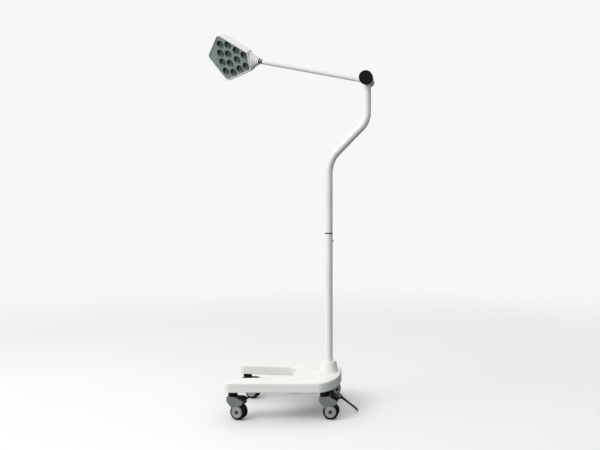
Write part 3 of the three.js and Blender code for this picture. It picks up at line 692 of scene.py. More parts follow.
ring = bored(bar(POLE_RADIUS + 2 * GAP, *RING_ENDS), RING_WALL)
rounded(ring, 0.7, rim("z", *RING_ENDS, inner=18), steps=2)
mounted(ring, "mast_bearing_ring", BASE_FRAME, "base", black_moulding, "mast_ring")

screw = bar(
    SCREW_RADIUS, POLE_RADIUS, POLE_RADIUS + SCREW_HEAD, along="x", sides=24, at=(0, 0, SCREW_HEIGHT)
)


def screw_edge(at, edge):
    from_axis = (at.yz - Vector((0, SCREW_HEIGHT))).length
    return at.x > POLE_RADIUS + SCREW_HEAD - 0.1 and from_axis > SCREW_RADIUS - 0.5


with editing(screw):
    pick("faces", facing(x=1))
    inset(SCREW_SOCKET)
    extruded((-SCREW_SOCKET, 0, 0))
rounded(screw, 0.6, screw_edge, steps=2)
mounted(screw, "mast_screw_head", BASE_FRAME, "base", black_moulding, "mast_clamp_screw")

# %% Upper pole
LOWER_BEND, UPPER_BEND, LEAN = 150, 110, math.radians(45)
BEND_START, MAST_OFFSET, ELBOW_HEIGHT = 1176, 195, spot("elbow_tilt").z / MM
BARREL_RADIUS, BARREL_OVERLAP, FIT = 28, 8, 0.1

both_bends = LOWER_BEND + UPPER_BEND
across = MAST_OFFSET - both_bends * (1 - math.cos(LEAN))
upper_centre_z = BEND_START + both_bends * math.sin(LEAN) + across / math.tan(LEAN)
upper_pole = add(
    bpy.ops.mesh.primitive_circle_add, vertices=48, radius=POLE_RADIUS * MM,
    location=(0, 0, (LOWER_POLE_TOP + RING_HEIGHT) * MM),
)
bpy.ops.object.transform_apply(location=True)


def bent(angle, x, z):
    """Spins what is selected round a line across the mast, as a bending machine does."""
    bpy.ops.mesh.spin(steps=20, angle=angle, center=(x * MM, 0, z * MM), axis=(0, 1, 0))


with editing(upper_pole, "EDGE"):
    bpy.ops.mesh.select_all(action="SELECT")
    extruded((0, 0, BEND_START - LOWER_POLE_TOP - RING_HEIGHT))
    bent(-LEAN, LOWER_BEND, BEND_START)
    extruded((across, 0, across / math.tan(LEAN)))
    bent(LEAN, MAST_OFFSET - UPPER_BEND, upper_centre_z)
    extruded((0, 0, ELBOW_HEIGHT - upper_centre_z - BARREL_OVERLAP))
outward(upper_pole)
modified(upper_pole, "SOLIDIFY", thickness=(POLE_RADIUS - POLE_BORE) * MM, offset=-1)
barrel_place = (MAST_OFFSET, 0, ELBOW_HEIGHT)
carved(upper_pole, bar(BARREL_RADIUS + FIT, -40, 40, along="y", at=barrel_place, sides=96))
top = max(vertex.co.x for vertex in upper_pole.data.vertices) / MM
print("the gooseneck reaches x =", round(top, 1), "and should reach", MAST_OFFSET + POLE_RADIUS)
mounted(upper_pole, "gooseneck_tube", MAST_FRAME, "mast", powder_coat, "upper_pole")

# %% [markdown]
# ## The elbow
#
# The elbow is a row of round pieces on one bolt: the big black clamp knob in front, a steel spacer,
# the barrel that is welded on the mast, a black friction washer, the arm's knuckle, and a domed cap
# at the back. Each is a bar across the mast with its edges rounded as the real one has them.

# %% Elbow pieces
BARREL_ENDS, SPACER_ENDS, WASHER_ENDS = (-22, 22), (-31.7, -22.3), (22.3, 24.3)
KNUCKLE_ENDS, CAP_ENDS = (24.6, 58), (58.3, 75)
SPACER_RADIUS, SPACER_WALL, WASHER_RADIUS, WASHER_WALL = 17, 10, 26, 19
TURNED_EDGE, CAP_DOME = 1.5, 9

barrel = bar(BARREL_RADIUS, *BARREL_ENDS, along="y", sides=72)
rounded(barrel, TURNED_EDGE, rim("y", *BARREL_ENDS), steps=3)
mounted(barrel, "elbow_barrel", ELBOW_FRAME, "mast", powder_coat, "elbow_yoke")

spacer = bored(bar(SPACER_RADIUS, *SPACER_ENDS, along="y", sides=48), SPACER_WALL, "y")
mounted(spacer, "elbow_spacer_sleeve", ELBOW_FRAME, "mast", zinc_plate, "elbow_spacer")

washer = bored(bar(WASHER_RADIUS, *WASHER_ENDS, along="y"), WASHER_WALL, "y")
mounted(washer, "elbow_washer", ELBOW_FRAME, "mast", black_moulding, "elbow_friction_washer")

knuckle = bar(BARREL_RADIUS, *KNUCKLE_ENDS, along="y", sides=72)
rounded(knuckle, TURNED_EDGE, rim("y", *KNUCKLE_ENDS), steps=3)
mounted(knuckle, "arm_knuckle_body", ELBOW_FRAME, "arm", powder_coat, "arm_knuckle")

cap = bar(BARREL_RADIUS, *CAP_ENDS, along="y", sides=72)
rounded(cap, CAP_DOME, rim("y", CAP_ENDS[1]), steps=6)
mounted(cap, "elbow_end_cap", ELBOW_FRAME, "arm", powder_coat, "elbow_cap")

# %% [markdown]
# The knob is what the hand finds first. It is a plain round cap of black plastic with a soft front
# edge, a shallow dished face and a chamfer towards the elbow. Fine grooves round its side give the
# fingers a hold; every second strip of the side is inset and pushed in a little.

# %% The clamp knob
KNOB_RADIUS, KNOB_FRONT, KNOB_BACK = 34, -60, -32
KNOB_RIM, DISH_EDGE, DISH_DEPTH = 7, 2, 0.8
KNOB_FRONT_ROUND, KNOB_CHAMFER = 4.5, 3
GROOVES, GROOVE_EDGE, GROOVE_DEPTH = 48, 0.35, 0.6

knob = bar(KNOB_RADIUS, KNOB_FRONT, KNOB_BACK, along="y", sides=2 * GROOVES)
with editing(knob):
    pick("faces", facing(y=-1))
    inset(KNOB_RIM)
    inset(DISH_EDGE, -DISH_DEPTH)
rounded(knob, KNOB_FRONT_ROUND, rim("y", KNOB_FRONT, inner=33), steps=6)
rounded(knob, KNOB_CHAMFER, rim("y", KNOB_BACK, inner=33), steps=3)


def in_groove(at, face):
    round_place = math.atan2(at.z, at.x) / math.tau * GROOVES
    outside = math.hypot(at.x, at.z) > KNOB_RADIUS - 0.2 and abs(face.normal.y) < 0.1
    return outside and round_place % 1 < 0.5


with editing(knob):
    grooves = pick("faces", in_groove)
    inset(GROOVE_EDGE, -GROOVE_DEPTH, use_individual=True)
print("grooves round the knob:", grooves)
mounted(knob, "clamp_knob", ELBOW_FRAME, "knob", black_moulding, "elbow_knob")

# %% [markdown]
# ## The arm and the ball joint
#
# A slim tube runs from the knuckle to the wrist. Its end is closed by a black nylon ring; the stem
# of the steel ball turns in it, and a black cup on the head's neck grips the ball. The tube's other
# end is cut to the knuckle's round with a Boolean, which is what a tube notcher does.

# %% Arm tube
ARM_RADIUS, ARM_WALL, ARM_START, ARM_END, ARM_MID = 12, 2, 18, 563.2, 41.3

arm_bar = bar(ARM_RADIUS, ARM_START, ARM_END, along="x", sides=48, at=(0, -ARM_MID, 0))
arm_tube = bored(arm_bar, ARM_WALL, "x")
carved(arm_tube, bar(BARREL_RADIUS + FIT, -80, 0, along="y", sides=96))
mounted(arm_tube, "arm_tube_white", ARM_FRAME, "arm", powder_coat, "arm_tube")

# %% Ball, ring and cup
WRIST_RING_RADIUS, WRIST_RING_WALL, WRIST_RING_ENDS = 12.8, 8, (-16.5, -11.5)
BALL_RADIUS, STEM_RADIUS, STEM_LENGTH = 8.5, 4.5, 36
CUP_RADIUS, CUP_ENDS = 11.5, (-3.4, 14)
CUP_MOUTH, CUP_DEPTH, CUP_TAPER = 8.2, 8, 0.75

wrist_ring = bored(bar(WRIST_RING_RADIUS, *WRIST_RING_ENDS, along="x", sides=48), WRIST_RING_WALL, "x")
rounded(wrist_ring, 1, rim("x", *WRIST_RING_ENDS, inner=12), steps=3)
mounted(wrist_ring, "wrist_end_ring", WRIST_FRAME, "arm", black_moulding, "wrist_ring")

ball = add(
    bpy.ops.mesh.primitive_uv_sphere_add, segments=32, ring_count=24, radius=BALL_RADIUS * MM,
    rotation=(0, math.pi / 2, 0),
)
bpy.ops.object.transform_apply(rotation=True)
stem_start = -math.sqrt(BALL_RADIUS**2 - STEM_RADIUS**2)
with editing(ball):
    pick("faces", lambda at, face: at.x < stem_start)
    bpy.ops.mesh.delete(type="FACE")
    bpy.ops.mesh.select_mode(type="EDGE")
    pick("edges", lambda at, edge: edge.is_boundary)
    extruded((-STEM_LENGTH, 0, 0))
    bpy.ops.mesh.edge_face_add()
outward(ball)
mounted(ball, "wrist_ball_and_stem", WRIST_FRAME, "wrist_stem", zinc_plate, "wrist_ball")

CUP_FRAME = standing(spot("head_roll"), axis("head_roll"), axis("head_roll").cross(axis("wrist_bend")))
cup = bar(CUP_RADIUS, *CUP_ENDS, along="x", sides=48)
with editing(cup):
    pick("faces", facing(x=-1))
    inset(CUP_RADIUS - CUP_MOUTH)
    extruded((CUP_DEPTH, 0, 0))
    scaled(1, CUP_TAPER, CUP_TAPER)
rounded(cup, 1.2, rim("x", CUP_ENDS[0], inner=11), steps=3)
mounted(cup, "wrist_ball_cup", CUP_FRAME, "wrist_socket", black_moulding, "wrist_cup")

# %% [markdown]
# ## The head
#
# The neck is a round bar that widens and flattens towards the head, with three raised ribs to grip.
# It starts as a circle; each step extrudes it a little further and scales it to that station's
# width and thickness. A loft through curves would be smoother but would lose the crisp ribs.

# %% The ribbed neck
HEAD_START = 48
NECK_SMALL, NECK_HALF_WIDTH, NECK_HALF_THICK, NECK_FLARE = 15, 47, 17, 1.3
RIB_HEIGHT, RIB_FLATNESS, RIB_PLACES = 2.6, 0.7, (0.2, 0.5, 0.8)
RIB_PROFILE = ((-0.115, 0.0), (-0.095, 0.55), (-0.065, 1.0), (0.065, 1.0), (0.095, 0.55), (0.115, 0.0))
CUP_ROOM, CUP_ROOM_ENDS = 0.4, (-5, 14.6)


def neck_size(share, rib):
    widening = max(share, 0) ** NECK_FLARE
    half_width = NECK_SMALL + (NECK_HALF_WIDTH - NECK_SMALL) * widening + rib * RIB_HEIGHT
    half_thick = NECK_SMALL + (NECK_HALF_THICK - NECK_SMALL) * share + rib * RIB_HEIGHT * RIB_FLATNESS
    return half_width, half_thick


stations = [(place + offset, rib) for place in RIB_PLACES for offset, rib in RIB_PROFILE] + [(1.0, 0.0)]
neck = add(
    bpy.ops.mesh.primitive_circle_add, vertices=64, radius=NECK_SMALL * MM, rotation=(0, math.pi / 2, 0),
    fill_type="NGON",
)
bpy.ops.object.transform_apply(rotation=True)
with editing(neck):
    bpy.ops.mesh.select_all(action="SELECT")
    share, size = 0.0, neck_size(0.0, 0.0)
    for next_share, rib in stations:
        next_size = neck_size(next_share, rib)
        extruded(((next_share - share) * (HEAD_START - GAP), 0, 0))
        scaled(1, next_size[0] / size[0], next_size[1] / size[1])
        share, size = next_share, next_size
outward(neck)
carved(neck, bar(CUP_RADIUS + CUP_ROOM, *CUP_ROOM_ENDS, along="x", sides=48))
mounted(neck, "ribbed_neck", HEAD_FRAME, "head", white_moulding, "head_neck", angle=28)

# %% [markdown]
# The head is a five-sided slab: narrow at the neck, widest past the middle, and pointed at the tip.
# The half outline has four corners, so it starts as a plane whose corners are pulled there, and a
# mirror gives the other half. The same outline makes the rear shell, the rim and the lens sheet,
# which is why it is a function.

# %% Five-sided outline
HEAD_TIP, HEAD_WIDEST, HEAD_HALF_WIDTH, HEAD_NECK_HALF = 319, 222, 137, 52
HEAD_CORNERS = (((HEAD_START, HEAD_NECK_HALF), 12), ((HEAD_WIDEST, HEAD_HALF_WIDTH), 30))
TIP_ROUND = 26
HEAD_BACK, HEAD_SPLIT, HEAD_FRONT = 20, -9, -18


def head_outline(height, steps=8):
    outline = add(bpy.ops.mesh.primitive_plane_add, size=1)
    corners = {
        (-1, -1): (HEAD_START, 0), (-1, 1): (HEAD_START, HEAD_NECK_HALF),
        (1, 1): (HEAD_WIDEST, HEAD_HALF_WIDTH), (1, -1): (HEAD_TIP, 0),
    }
    for vertex in outline.data.vertices:
        sides = (round(vertex.co.x * 2), round(vertex.co.y * 2))
        vertex.co = Vector((*corners[sides], height)) * MM
    modified(outline, "MIRROR", use_axis=(False, True, False), merge_threshold=0.0001)
    with editing(outline, "EDGE"):
        pick("edges", lambda at, edge: all(abs(vertex.co.y) < 0.0001 for vertex in edge.verts))
        bpy.ops.mesh.dissolve_edges(use_verts=False)
        pick("verts", lambda at, vertex: abs(at.y) < 0.1 and at.x < HEAD_START + 1)
        bpy.ops.mesh.dissolve_verts()
    with editing(outline, "VERT"):
        for (x, y), radius in HEAD_CORNERS:
            for side in (-1, 1):
                round_corner((x, side * y), radius, steps)
        round_corner((HEAD_TIP, 0), TIP_ROUND, steps)
    return outline


# %% [markdown]
# The rear shell is pulled back from the split line, its rear edge is rounded, and its back is
# crowned a little by insetting and lifting, because a dead flat moulding would sink in. The front
# is then opened and the wall added.

# %% Rear shell of the head
SWITCH_AT, SWITCH_HALF = 86, (11, 6)
SWITCH_ROOM, SWITCH_ROOM_HEIGHT = (2 * SWITCH_HALF[0] + 3, 2 * SWITCH_HALF[1] + 1.2, 14), 20
SHELL_ROUND, SHELL_WALL = 9, 3
CROWN_EDGE, CROWN_LIFT, CROWN_SCALE, CROWN_CENTRE = 8, 0.8, 0.96, 0.185


def pulled_up(outline, height):
    with editing(outline):
        bpy.ops.mesh.select_all(action="SELECT")
        extruded((0, 0, height))
    return outward(outline)


shell = pulled_up(head_outline(HEAD_SPLIT), HEAD_BACK - HEAD_SPLIT)
rounded(shell, SHELL_ROUND, lambda at, edge: at.z > HEAD_BACK - 0.1, steps=7)
with editing(shell):
    pick("faces", large_face(1))
    inset(CROWN_EDGE)
    extruded((0, 0, CROWN_LIFT))
    scaled(CROWN_SCALE, CROWN_SCALE, 1, centre=(CROWN_CENTRE, 0, 0))
    pick("faces", large_face(-1))
    bpy.ops.mesh.delete(type="FACE")
modified(shell, "SOLIDIFY", thickness=SHELL_WALL * MM, offset=-1)
carved(shell, block(SWITCH_ROOM, (SWITCH_AT, 0, SWITCH_ROOM_HEIGHT)))
mounted(shell, "head_rear_shell", HEAD_FRAME, "head", white_moulding, "head_housing")

# %% [markdown]
# The rim closes the front. It is the same outline, pulled forward and rounded; its front face is
# inset and pushed back right through, and bridging the two rear loops closes the ring. The lens
# sheet then lies a few millimetres below the rim.

# %% Rim of the head
RIM_FLAT, RIM_ROUND = 3, 6.5

head_rim = pulled_up(head_outline(HEAD_SPLIT - GAP), HEAD_FRONT - HEAD_SPLIT + GAP)
rounded(head_rim, RIM_ROUND, lambda at, edge: at.z < HEAD_FRONT + 0.1, steps=6)
with editing(head_rim):
    pick("faces", large_face(-1))
    inset(RIM_FLAT)
    extruded((0, 0, HEAD_SPLIT - HEAD_FRONT - GAP))
    bpy.ops.mesh.delete(type="FACE")
    pick("faces", large_face(1))
    bpy.ops.mesh.delete(type="FACE")
    bpy.ops.mesh.select_mode(type="EDGE")
    pick("edges", lambda at, edge: edge.is_boundary)
    bpy.ops.mesh.bridge_edge_loops()
outward(head_rim)
mounted(head_rim, "head_front_rim", HEAD_FRAME, "head", white_moulding, "head_bezel")

# %% [markdown]
# Thirteen lenses sit in the lens sheet, in rows of four, four, three and two from the tip. The rows
# bow slightly, with their ends nearer the neck. Each lens has a raised ring and a mirror bowl with
# the light source at its bottom. One lens is modelled and copied to each place, and thirteen
# cylinders cut the holes for the bowls.

# %% Lens sheet with its holes
LENS_RADIUS, LENS_FACE, SHEET_THICK, SHEET_FIT = 19, -14.4, 2.5, 0.2
LENS_ROWS = (
    (82, (-30, 30)),
    (129, (-51, 0, 51)),
    (180, (-76, -25.5, 25.5, 76)),
    (228, (-75, -24.5, 24.5, 75)),
)
LENS_BOW = 0.0019
HOLE_ENDS = (LENS_FACE - 2, LENS_FACE + 5)
lens_places = [(x - LENS_BOW * y * y, y) for x, row in LENS_ROWS for y in row]

sheet = head_outline(LENS_FACE)
with editing(sheet):
    bpy.ops.mesh.select_all(action="SELECT")
    inset(RIM_FLAT + RIM_ROUND + SHEET_FIT)
    bpy.ops.mesh.select_all(action="INVERT")
    bpy.ops.mesh.delete(type="FACE")
    bpy.ops.mesh.select_all(action="SELECT")
    extruded((0, 0, SHEET_THICK))
outward(sheet)
for x, y in lens_places:
    carved(sheet, bar(LENS_RADIUS, *HOLE_ENDS, at=(x, y, 0), sides=48))
mounted(sheet, "head_lens_sheet", HEAD_FRAME, "head", lens_sheet, "lens_array")

# %% One lens, copied to its places
BOWL_DEPTH, BOWL_FLOOR, RING_LIP, RING_FACE = 9, 5.5, 1.2, 1.6
BOWL_STEP, BOWL_SCALES = 3, (0.9, 0.74, BOWL_FLOOR / LENS_RADIUS)
CHIP_SIZE, CHIP_SUNK, CHIP_ROUND = (5, 5, 2), 1.6, 0.5


def lens_bowl():
    bowl = bar(LENS_RADIUS + RING_LIP, LENS_FACE - 1, LENS_FACE + BOWL_DEPTH + 1, sides=48)
    with editing(bowl):
        pick("faces", facing(z=-1))
        inset(RING_FACE)
        scale = 1.0
        for next_scale in BOWL_SCALES:
            extruded((0, 0, BOWL_STEP))
            scaled(next_scale / scale, next_scale / scale, 1)
            scale = next_scale
    return bowl


def light_source():
    chip = block(CHIP_SIZE, (0, 0, LENS_FACE + BOWL_DEPTH - CHIP_SUNK))
    bpy.ops.object.transform_apply(location=True, scale=True)
    rounded(chip, CHIP_ROUND, lambda at, edge: True, steps=2)
    return chip


def copied(first):
    copy = first.copy()
    copy.data = first.data.copy()
    bpy.context.collection.objects.link(copy)
    return copy


def repeated(first, name, places, material):
    """Copies a piece to each place, joins the copies and mounts them on the head."""
    copies = [copied(first) for _ in places]
    bpy.data.objects.remove(first)
    bpy.ops.object.select_all(action="DESELECT")
    for copy, (x, y) in zip(copies, places):
        copy.location = (x * MM, y * MM, 0)
        copy.select_set(True)
    bpy.context.view_layer.objects.active = copies[0]
    bpy.ops.object.join()
    bpy.ops.object.transform_apply(location=True)
    mounted(bpy.context.object, name, HEAD_FRAME, "head", material)


repeated(lens_bowl(), "lens_mirrors", lens_places, lens_mirror)
repeated(light_source(), "light_sources", lens_places, phosphor)

# %% [markdown]
# A small rocker switch sits in the back of the head near the neck. Its top face dips in the middle,
# so that a finger finds each end: the middle rows of points are lowered, the innermost ones twice.

# %% Rocker switch
ROCKER_HEIGHT, ROCKER_TILT, ROCKER_SUNK = 8, math.radians(-6), 3
ROCKER_DIPS = ((8, 3.9), (4, 3.3))
DIP_DEPTH, ROCKER_ROUND = 0.5, 0.8

rocker = block((2 * SWITCH_HALF[0], 2 * SWITCH_HALF[1], ROCKER_HEIGHT))
bpy.ops.object.transform_apply(scale=True)
with editing(rocker, "EDGE"):
    pick("edges", lambda at, edge: abs(at.x) < 0.1)
    bpy.ops.mesh.subdivide(number_cuts=5)
    for reach, above in ROCKER_DIPS:
        pick("verts", lambda at, vertex: at.z > above and abs(at.x) < reach)
        bpy.ops.transform.translate(value=(0, 0, -DIP_DEPTH * MM))
rounded(rocker, ROCKER_ROUND, lambda at, edge: abs(abs(at.y) - SWITCH_HALF[1]) < 0.1 and at.z > 2, steps=3)
rocker_place = Matrix.Translation((SWITCH_AT * MM, 0, (HEAD_BACK - ROCKER_SUNK) * MM))
tilt = rocker_place @ Matrix.Rotation(ROCKER_TILT, 4, "Y")
mounted(rocker, "rocker_switch", HEAD_FRAME @ tilt, "switch", black_moulding, "power_switch")

# %% [markdown]
# ## The castors
#
# Each castor has a swivel cup, a grey hood that wraps over the wheel, a brake pedal, the wheel with
# its tyre, and an axle with wide dark heads. The four are alike, so each piece is modelled once in
# the castor's own frame and copied to the four places, each turned as its castor is turned.

# %% Places of the four castors
CASTORS = ("front_left", "rear_left", "front_right", "rear_right")
TRAIL, WHEEL_RADIUS, TREAD_HALF, HUB_RADIUS = 32, 37.5, 17, 27
WHEEL = (TRAIL, 0, WHEEL_RADIUS)
HOOD_TOP, HOOD_HALF, HOOD_INSIDE, WHEEL_ROOM, HOOD_ROUND = 108, 23.5, 19.3, 40.5, 1.6


def castor_frame(castor):
    across = axis(f"wheel_{castor}_spin")
    swivel = spot(f"castor_{castor}_swivel")
    return standing(Vector((*swivel.xy, 0)), across.cross(UP), across)


def four_times(first, part, body, material, *nodes):
    """Copies a castor piece to the four castors; part, body and nodes hold {} for the castor's name."""
    for castor in CASTORS:
        names = [node.format(castor) for node in nodes]
        mounted(
            copied(first), part.format(castor), castor_frame(castor), body.format(castor), material, *names
        )
    bpy.data.objects.remove(first)


# %% [markdown]
# The hood is drawn from the side as a flat outline with its corners rounded one by one, pulled to
# its full width and hollowed by a drum that leaves room for the wheel. Its round cheeks then get
# stepped rings, pulled out of a disc, like the dust covers that such castors carry.

# %% Hood of a castor
HOOD_OUTLINE = (
    ((-22, 108), 2), ((-22, 84), 8), ((5, 56), 14), ((5, 10.5), 26.9), ((59, 10.5), 26.9),
    ((59, 64.5), 26.4), ((30, 67), 0), ((52, 69), 5), ((63, 79), 5), ((60, 90), 6), ((26, 106), 0),
    ((22, 108), 0),
)


def side_outline(corners, steps=6):
    """A flat face with these corners, drawn in X and Y and later turned upright."""
    outline = add(bpy.ops.mesh.primitive_circle_add, vertices=len(corners), fill_type="NGON")
    for vertex, (place, _) in zip(outline.data.vertices, corners):
        vertex.co = (*(value * MM for value in place), 0)
    with editing(outline, "VERT"):
        for place, radius in corners:
            if radius:
                round_corner(place, radius, steps)
    return outline


def upright(piece, half_width):
    """Pulls the flat outline to its full width and turns it, so that its Y points up."""
    with editing(piece):
        bpy.ops.mesh.select_all(action="SELECT")
        extruded((0, 0, 2 * half_width))
        bpy.ops.mesh.select_all(action="SELECT")
        bpy.ops.transform.translate(value=(0, 0, -half_width * MM))
    piece.rotation_euler = (math.pi / 2, 0, 0)
    bpy.ops.object.transform_apply(rotation=True)
    return outward(piece)


hood = upright(side_outline(HOOD_OUTLINE), HOOD_HALF)
rounded(hood, HOOD_ROUND, lambda at, edge: abs(abs(at.y) - HOOD_HALF) < 0.1, steps=3)
carved(hood, bar(WHEEL_ROOM, -HOOD_INSIDE, HOOD_INSIDE, along="y", at=WHEEL))
four_times(hood, "castor_{}_hood", "castor_{}", grey_nylon, "castor_{}_fork")

# %% Stepped rings on the cheeks
RING_STEPS, STEP_WIDTH = ((2.0, 0.7), (3.0, -0.5), (2.5, 0.5), (4.0, -0.4)), 0.5
CHEEK_SUNK, CHEEK_PROUD, CHEEK_EDGE = 1, 0.4, 1.5


def cheek_ring(side):
    start, end = sorted((side * (HOOD_HALF - CHEEK_SUNK), side * (HOOD_HALF + CHEEK_PROUD)))
    ring = bar(HUB_RADIUS - CHEEK_EDGE, start, end, along="y", at=WHEEL)
    with editing(ring):
        pick("faces", facing(y=side))
        for width, lift in RING_STEPS:
            inset(width)
            inset(STEP_WIDTH, lift)
    return ring


for side, word in ((-1, "outer"), (1, "inner")):
    four_times(cheek_ring(side), "castor_{}_cheek_" + word, "castor_{}", wheel_nylon)

# %% [markdown]
# The tyre has a flat tread with rounded shoulders, and the hub inside it is a disc with a dished
# face. The tyre stays exactly as large as the frame's wheel, because it stands on the floor.

# %% Tyre, hub and axle
TREAD_ROUND, HUB_INSET, HUB_RIM, DISH_SLOPE, HUB_DISH = 6, 2, 4, 2, 3
AXLE_RADIUS, AXLE_HEAD, AXLE_PROUD = 5, 8.6, 0.5
AXLE_STEPS = ((AXLE_HEAD / AXLE_RADIUS, 0), (1, 1.2), (0.9, 0.8))
TREAD_ENDS = (-TREAD_HALF, TREAD_HALF)


def wheel_piece(piece, part, body, material, node):
    """Moves a piece that was turned round the origin to the wheel's middle, on all four castors."""
    piece.location = Vector(WHEEL) * MM
    four_times(piece, part, body, material, node)


tyre = bored(bar(WHEEL_RADIUS, *TREAD_ENDS, along="y", sides=96), WHEEL_RADIUS - HUB_RADIUS - GAP, "y")
rounded(tyre, TREAD_ROUND, rim("y", *TREAD_ENDS, inner=36), steps=6)
wheel_piece(tyre, "castor_{}_tread", "wheel_{}", tyre_rubber, "castor_{}_tyre")

hub = bar(HUB_RADIUS, -TREAD_HALF + HUB_INSET, TREAD_HALF - HUB_INSET, along="y")
with editing(hub):
    pick("faces", end_faces("y"))
    inset(HUB_RIM)
    inset(DISH_SLOPE, -HUB_DISH)
bored(hub, HUB_RADIUS - HUB_RIM - DISH_SLOPE - AXLE_RADIUS - GAP, "y")
wheel_piece(hub, "castor_{}_wheel_disc", "wheel_{}", wheel_nylon, "castor_{}_hub")

axle = bar(AXLE_RADIUS, -HOOD_HALF - AXLE_PROUD, HOOD_HALF + AXLE_PROUD, along="y", sides=32)
with editing(axle):
    pick("faces", end_faces("y"))
    inset(0.0005, use_individual=True)
    for scale, step in AXLE_STEPS:
        bpy.ops.mesh.extrude_region_shrink_fatten(TRANSFORM_OT_shrink_fatten={"value": step * MM})
        scaled(scale, 1, scale)
outward(axle)
wheel_piece(axle, "castor_{}_axle_pin", "castor_{}", blackened_steel, "castor_{}_axle")

# %% [markdown]
# The brake pedal is a wedge that the foot presses down, with three bars across its tread so that a
# wet shoe doesn't slip. The cup on top of the hood is the swivel's housing.

# %% Brake pedal and swivel cup
TREAD_START, TREAD_END = (50, 110.5), (78, 103)
PEDAL_OUTLINE = (
    ((27.5, 110.5), 2), ((28.5, 107.6), 0), ((62, 92.8), 3), ((77, 98), 2), (TREAD_END, 2),
    (TREAD_START, 6),
)
PEDAL_HALF, PEDAL_ROUND = 15, 1.5
GRIP_SIZE, GRIP_SHARES = (1.8, 24, 1.6), (0.35, 0.55, 0.75)

pedal = upright(side_outline(PEDAL_OUTLINE, 4), PEDAL_HALF)
rounded(pedal, PEDAL_ROUND, lambda at, edge: abs(abs(at.y) - PEDAL_HALF) < 0.1, steps=3)
run, drop = TREAD_END[0] - TREAD_START[0], TREAD_START[1] - TREAD_END[1]
for share in GRIP_SHARES:
    place = (TREAD_START[0] + run * share, 0, TREAD_START[1] - drop * share)
    carved(pedal, block(GRIP_SIZE, place, (0, math.atan2(drop, run), 0)), operation="UNION")
four_times(pedal, "castor_{}_brake_pedal", "brake_{}", black_moulding, "castor_{}_pedal")

SWIVEL_CUP_RADIUS, SWIVEL_CUP_ENDS = 22, (HOOD_TOP + GAP, BASE_BOTTOM - GAP)
swivel_cup = bar(SWIVEL_CUP_RADIUS, *SWIVEL_CUP_ENDS)
rounded(swivel_cup, 4, rim("z", SWIVEL_CUP_ENDS[1]), steps=5)
rounded(swivel_cup, 2, rim("z", SWIVEL_CUP_ENDS[0]), steps=3)
four_times(swivel_cup, "castor_{}_swivel_cup", "base", black_moulding, "castor_{}_cup")

# %% [markdown]
# ## Carried-over pieces
#
# What is hidden inside the lamp keeps its plain shape from the frame and only gets its finish: the
# underside cover, the ballast, the flange, the driver box, the spigot, the bolt, the bush, the
# circuit board and the lead's gland.

# %% Finishes of the carried-over pieces
CARRIED = {
    "base_underside_cover": zinc_plate,
    "ballast_plate": zinc_plate,
    "column_flange": zinc_plate,
    "led_driver_box": grey_nylon,
    "mast_spigot": zinc_plate,
    "elbow_bolt": zinc_plate,
    "arm_bush": black_moulding,
    "led_board": solder_mask,
    "cord_gland": black_moulding,
}
for carried, material in CARRIED.items():
    for slot in frame["nodes"][carried].material_slots:
        slot.material = material
print("carried-over nodes:", len(CARRIED))

# %% [markdown]
# ## Floor and light
#
# A wide pale floor catches a soft shadow. It could be a curved paper sweep, but the lamp is looked
# at from all sides, so it is a flat disc whose far part glows as bright as the backdrop, and the
# horizon fades away. Its bounce is switched off for the lamp, because what a white lamp needs is
# a darker tone below and on its right: that alone draws the edges of white tubes on white.

# %% Floor
BACKDROP = 0.93
FLOOR_RADIUS, FLOOR_DROP = 60, 0.0005
FADE_START, FADE_END = 1.6, 6.0

floor = add(bpy.ops.mesh.primitive_circle_add, vertices=128, radius=FLOOR_RADIUS, fill_type="NGON")
floor.location.z = -FLOOR_DROP
floor.name = "studio_floor"
floor_paint = finish(
    "pale_studio_floor", (0.83, 0.83, 0.83), (0.86, 0.86, 0.86), (0.85, 0.95), 40, 0.0002, mottle=0.6
)
floor.data.materials.append(floor_paint)
floor.visible_diffuse = floor.visible_glossy = False


def eased(tree, value, start, end):
    """Rises smoothly from 0 to 1 while the value goes from start to end."""
    reach = {"Value": value, "From Min": start, "From Max": end}
    return node(tree, "ShaderNodeMapRange", reach, interpolation_type="SMOOTHSTEP").outputs["Result"]


tree = floor_paint.node_tree
place = node(tree, "ShaderNodeTexCoord", {}).outputs["Object"]
distance = node(tree, "ShaderNodeVectorMath", {0: place}, operation="LENGTH").outputs["Value"]
glow = node(tree, "ShaderNodeEmission", {"Strength": BACKDROP}).outputs["Emission"]
joined = node(tree, "ShaderNodeMixShader", {
    "Fac": eased(tree, distance, FADE_START, FADE_END), 1: shader_of(floor_paint).outputs["BSDF"], 2: glow,
})
fill(tree.nodes["Material Output"], {"Surface": joined.outputs["Shader"]})
print("floor fades from", FADE_START, "to", FADE_END, "metres")


# %% [markdown]
# One large softbox high on the left models the poles. The colours are shown as they are, without
# a film curve, because a white object on white needs all of its few steps of tone.

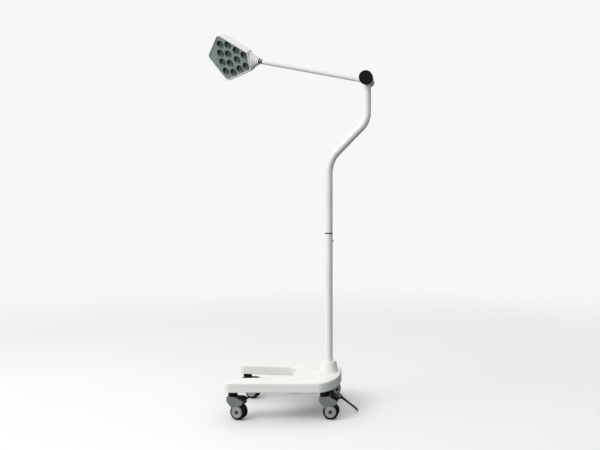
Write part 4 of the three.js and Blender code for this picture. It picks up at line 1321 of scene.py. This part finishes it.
# %% Softbox
SOFTBOX_PLACE, SOFTBOX_TARGET = Vector((-2.6, -2.0, 3.6)), Vector((0, 0, 0.9))
SOFTBOX_SIZE, SOFTBOX_POWER = 2.0, 70

bpy.ops.object.light_add(type="AREA", location=SOFTBOX_PLACE)
softbox = bpy.context.object
softbox.name = "key_softbox"
softbox.data.size = SOFTBOX_SIZE
softbox.data.energy = SOFTBOX_POWER
softbox.rotation_euler = (SOFTBOX_TARGET - SOFTBOX_PLACE).to_track_quat("-Z", "Y").to_euler()
bpy.context.scene.view_settings.view_transform = "Standard"
print("softbox power:", SOFTBOX_POWER)

# %% [markdown]
# The sky lights the lamp like a white tent that is open on its lower right: it is white above, in
# front and on the left, and turns dark green-grey towards the lower right. What the lens sees
# behind the lamp is one even pale tone in every direction.

# %% Sky
SKY_LIGHT, SKY_DARK = (1.0, 1.0, 1.0, 1), (0.035, 0.075, 0.065, 1)
SHADE_SIDE = (0.66, 0.12, -0.74)
SHADE_START, SHADE_END = -0.05, 0.40
SKY_STRENGTH = 0.95

world = bpy.data.worlds.new("pale_studio")
bpy.context.scene.world = world
world.use_nodes = True
tree = world.node_tree
direction = node(tree, "ShaderNodeTexCoord", {}).outputs["Generated"]
towards = node(tree, "ShaderNodeVectorMath", {0: direction, 1: SHADE_SIDE}, operation="DOT_PRODUCT")
shade = eased(tree, towards.outputs["Value"], SHADE_START, SHADE_END)
tent = node(tree, "ShaderNodeMix", {0: shade}, data_type="RGBA")
lit, shaded = (socket for socket in tent.inputs if socket.type == "RGBA")
lit.default_value = SKY_LIGHT
shaded.default_value = SKY_DARK
tent_colour = next(socket for socket in tent.outputs if socket.type == "RGBA")
sky = fill(tree.nodes["Background"], {"Color": tent_colour, "Strength": SKY_STRENGTH})
backdrop = node(tree, "ShaderNodeBackground", {"Color": (1, 1, 1, 1), "Strength": BACKDROP})
seen = node(tree, "ShaderNodeMixShader", {
    "Fac": node(tree, "ShaderNodeLightPath", {}).outputs["Is Camera Ray"],
    1: sky.outputs["Background"],
    2: backdrop.outputs["Background"],
})
fill(tree.nodes["World Output"], {"Surface": seen.outputs["Shader"]})
print("sky:", world.name)
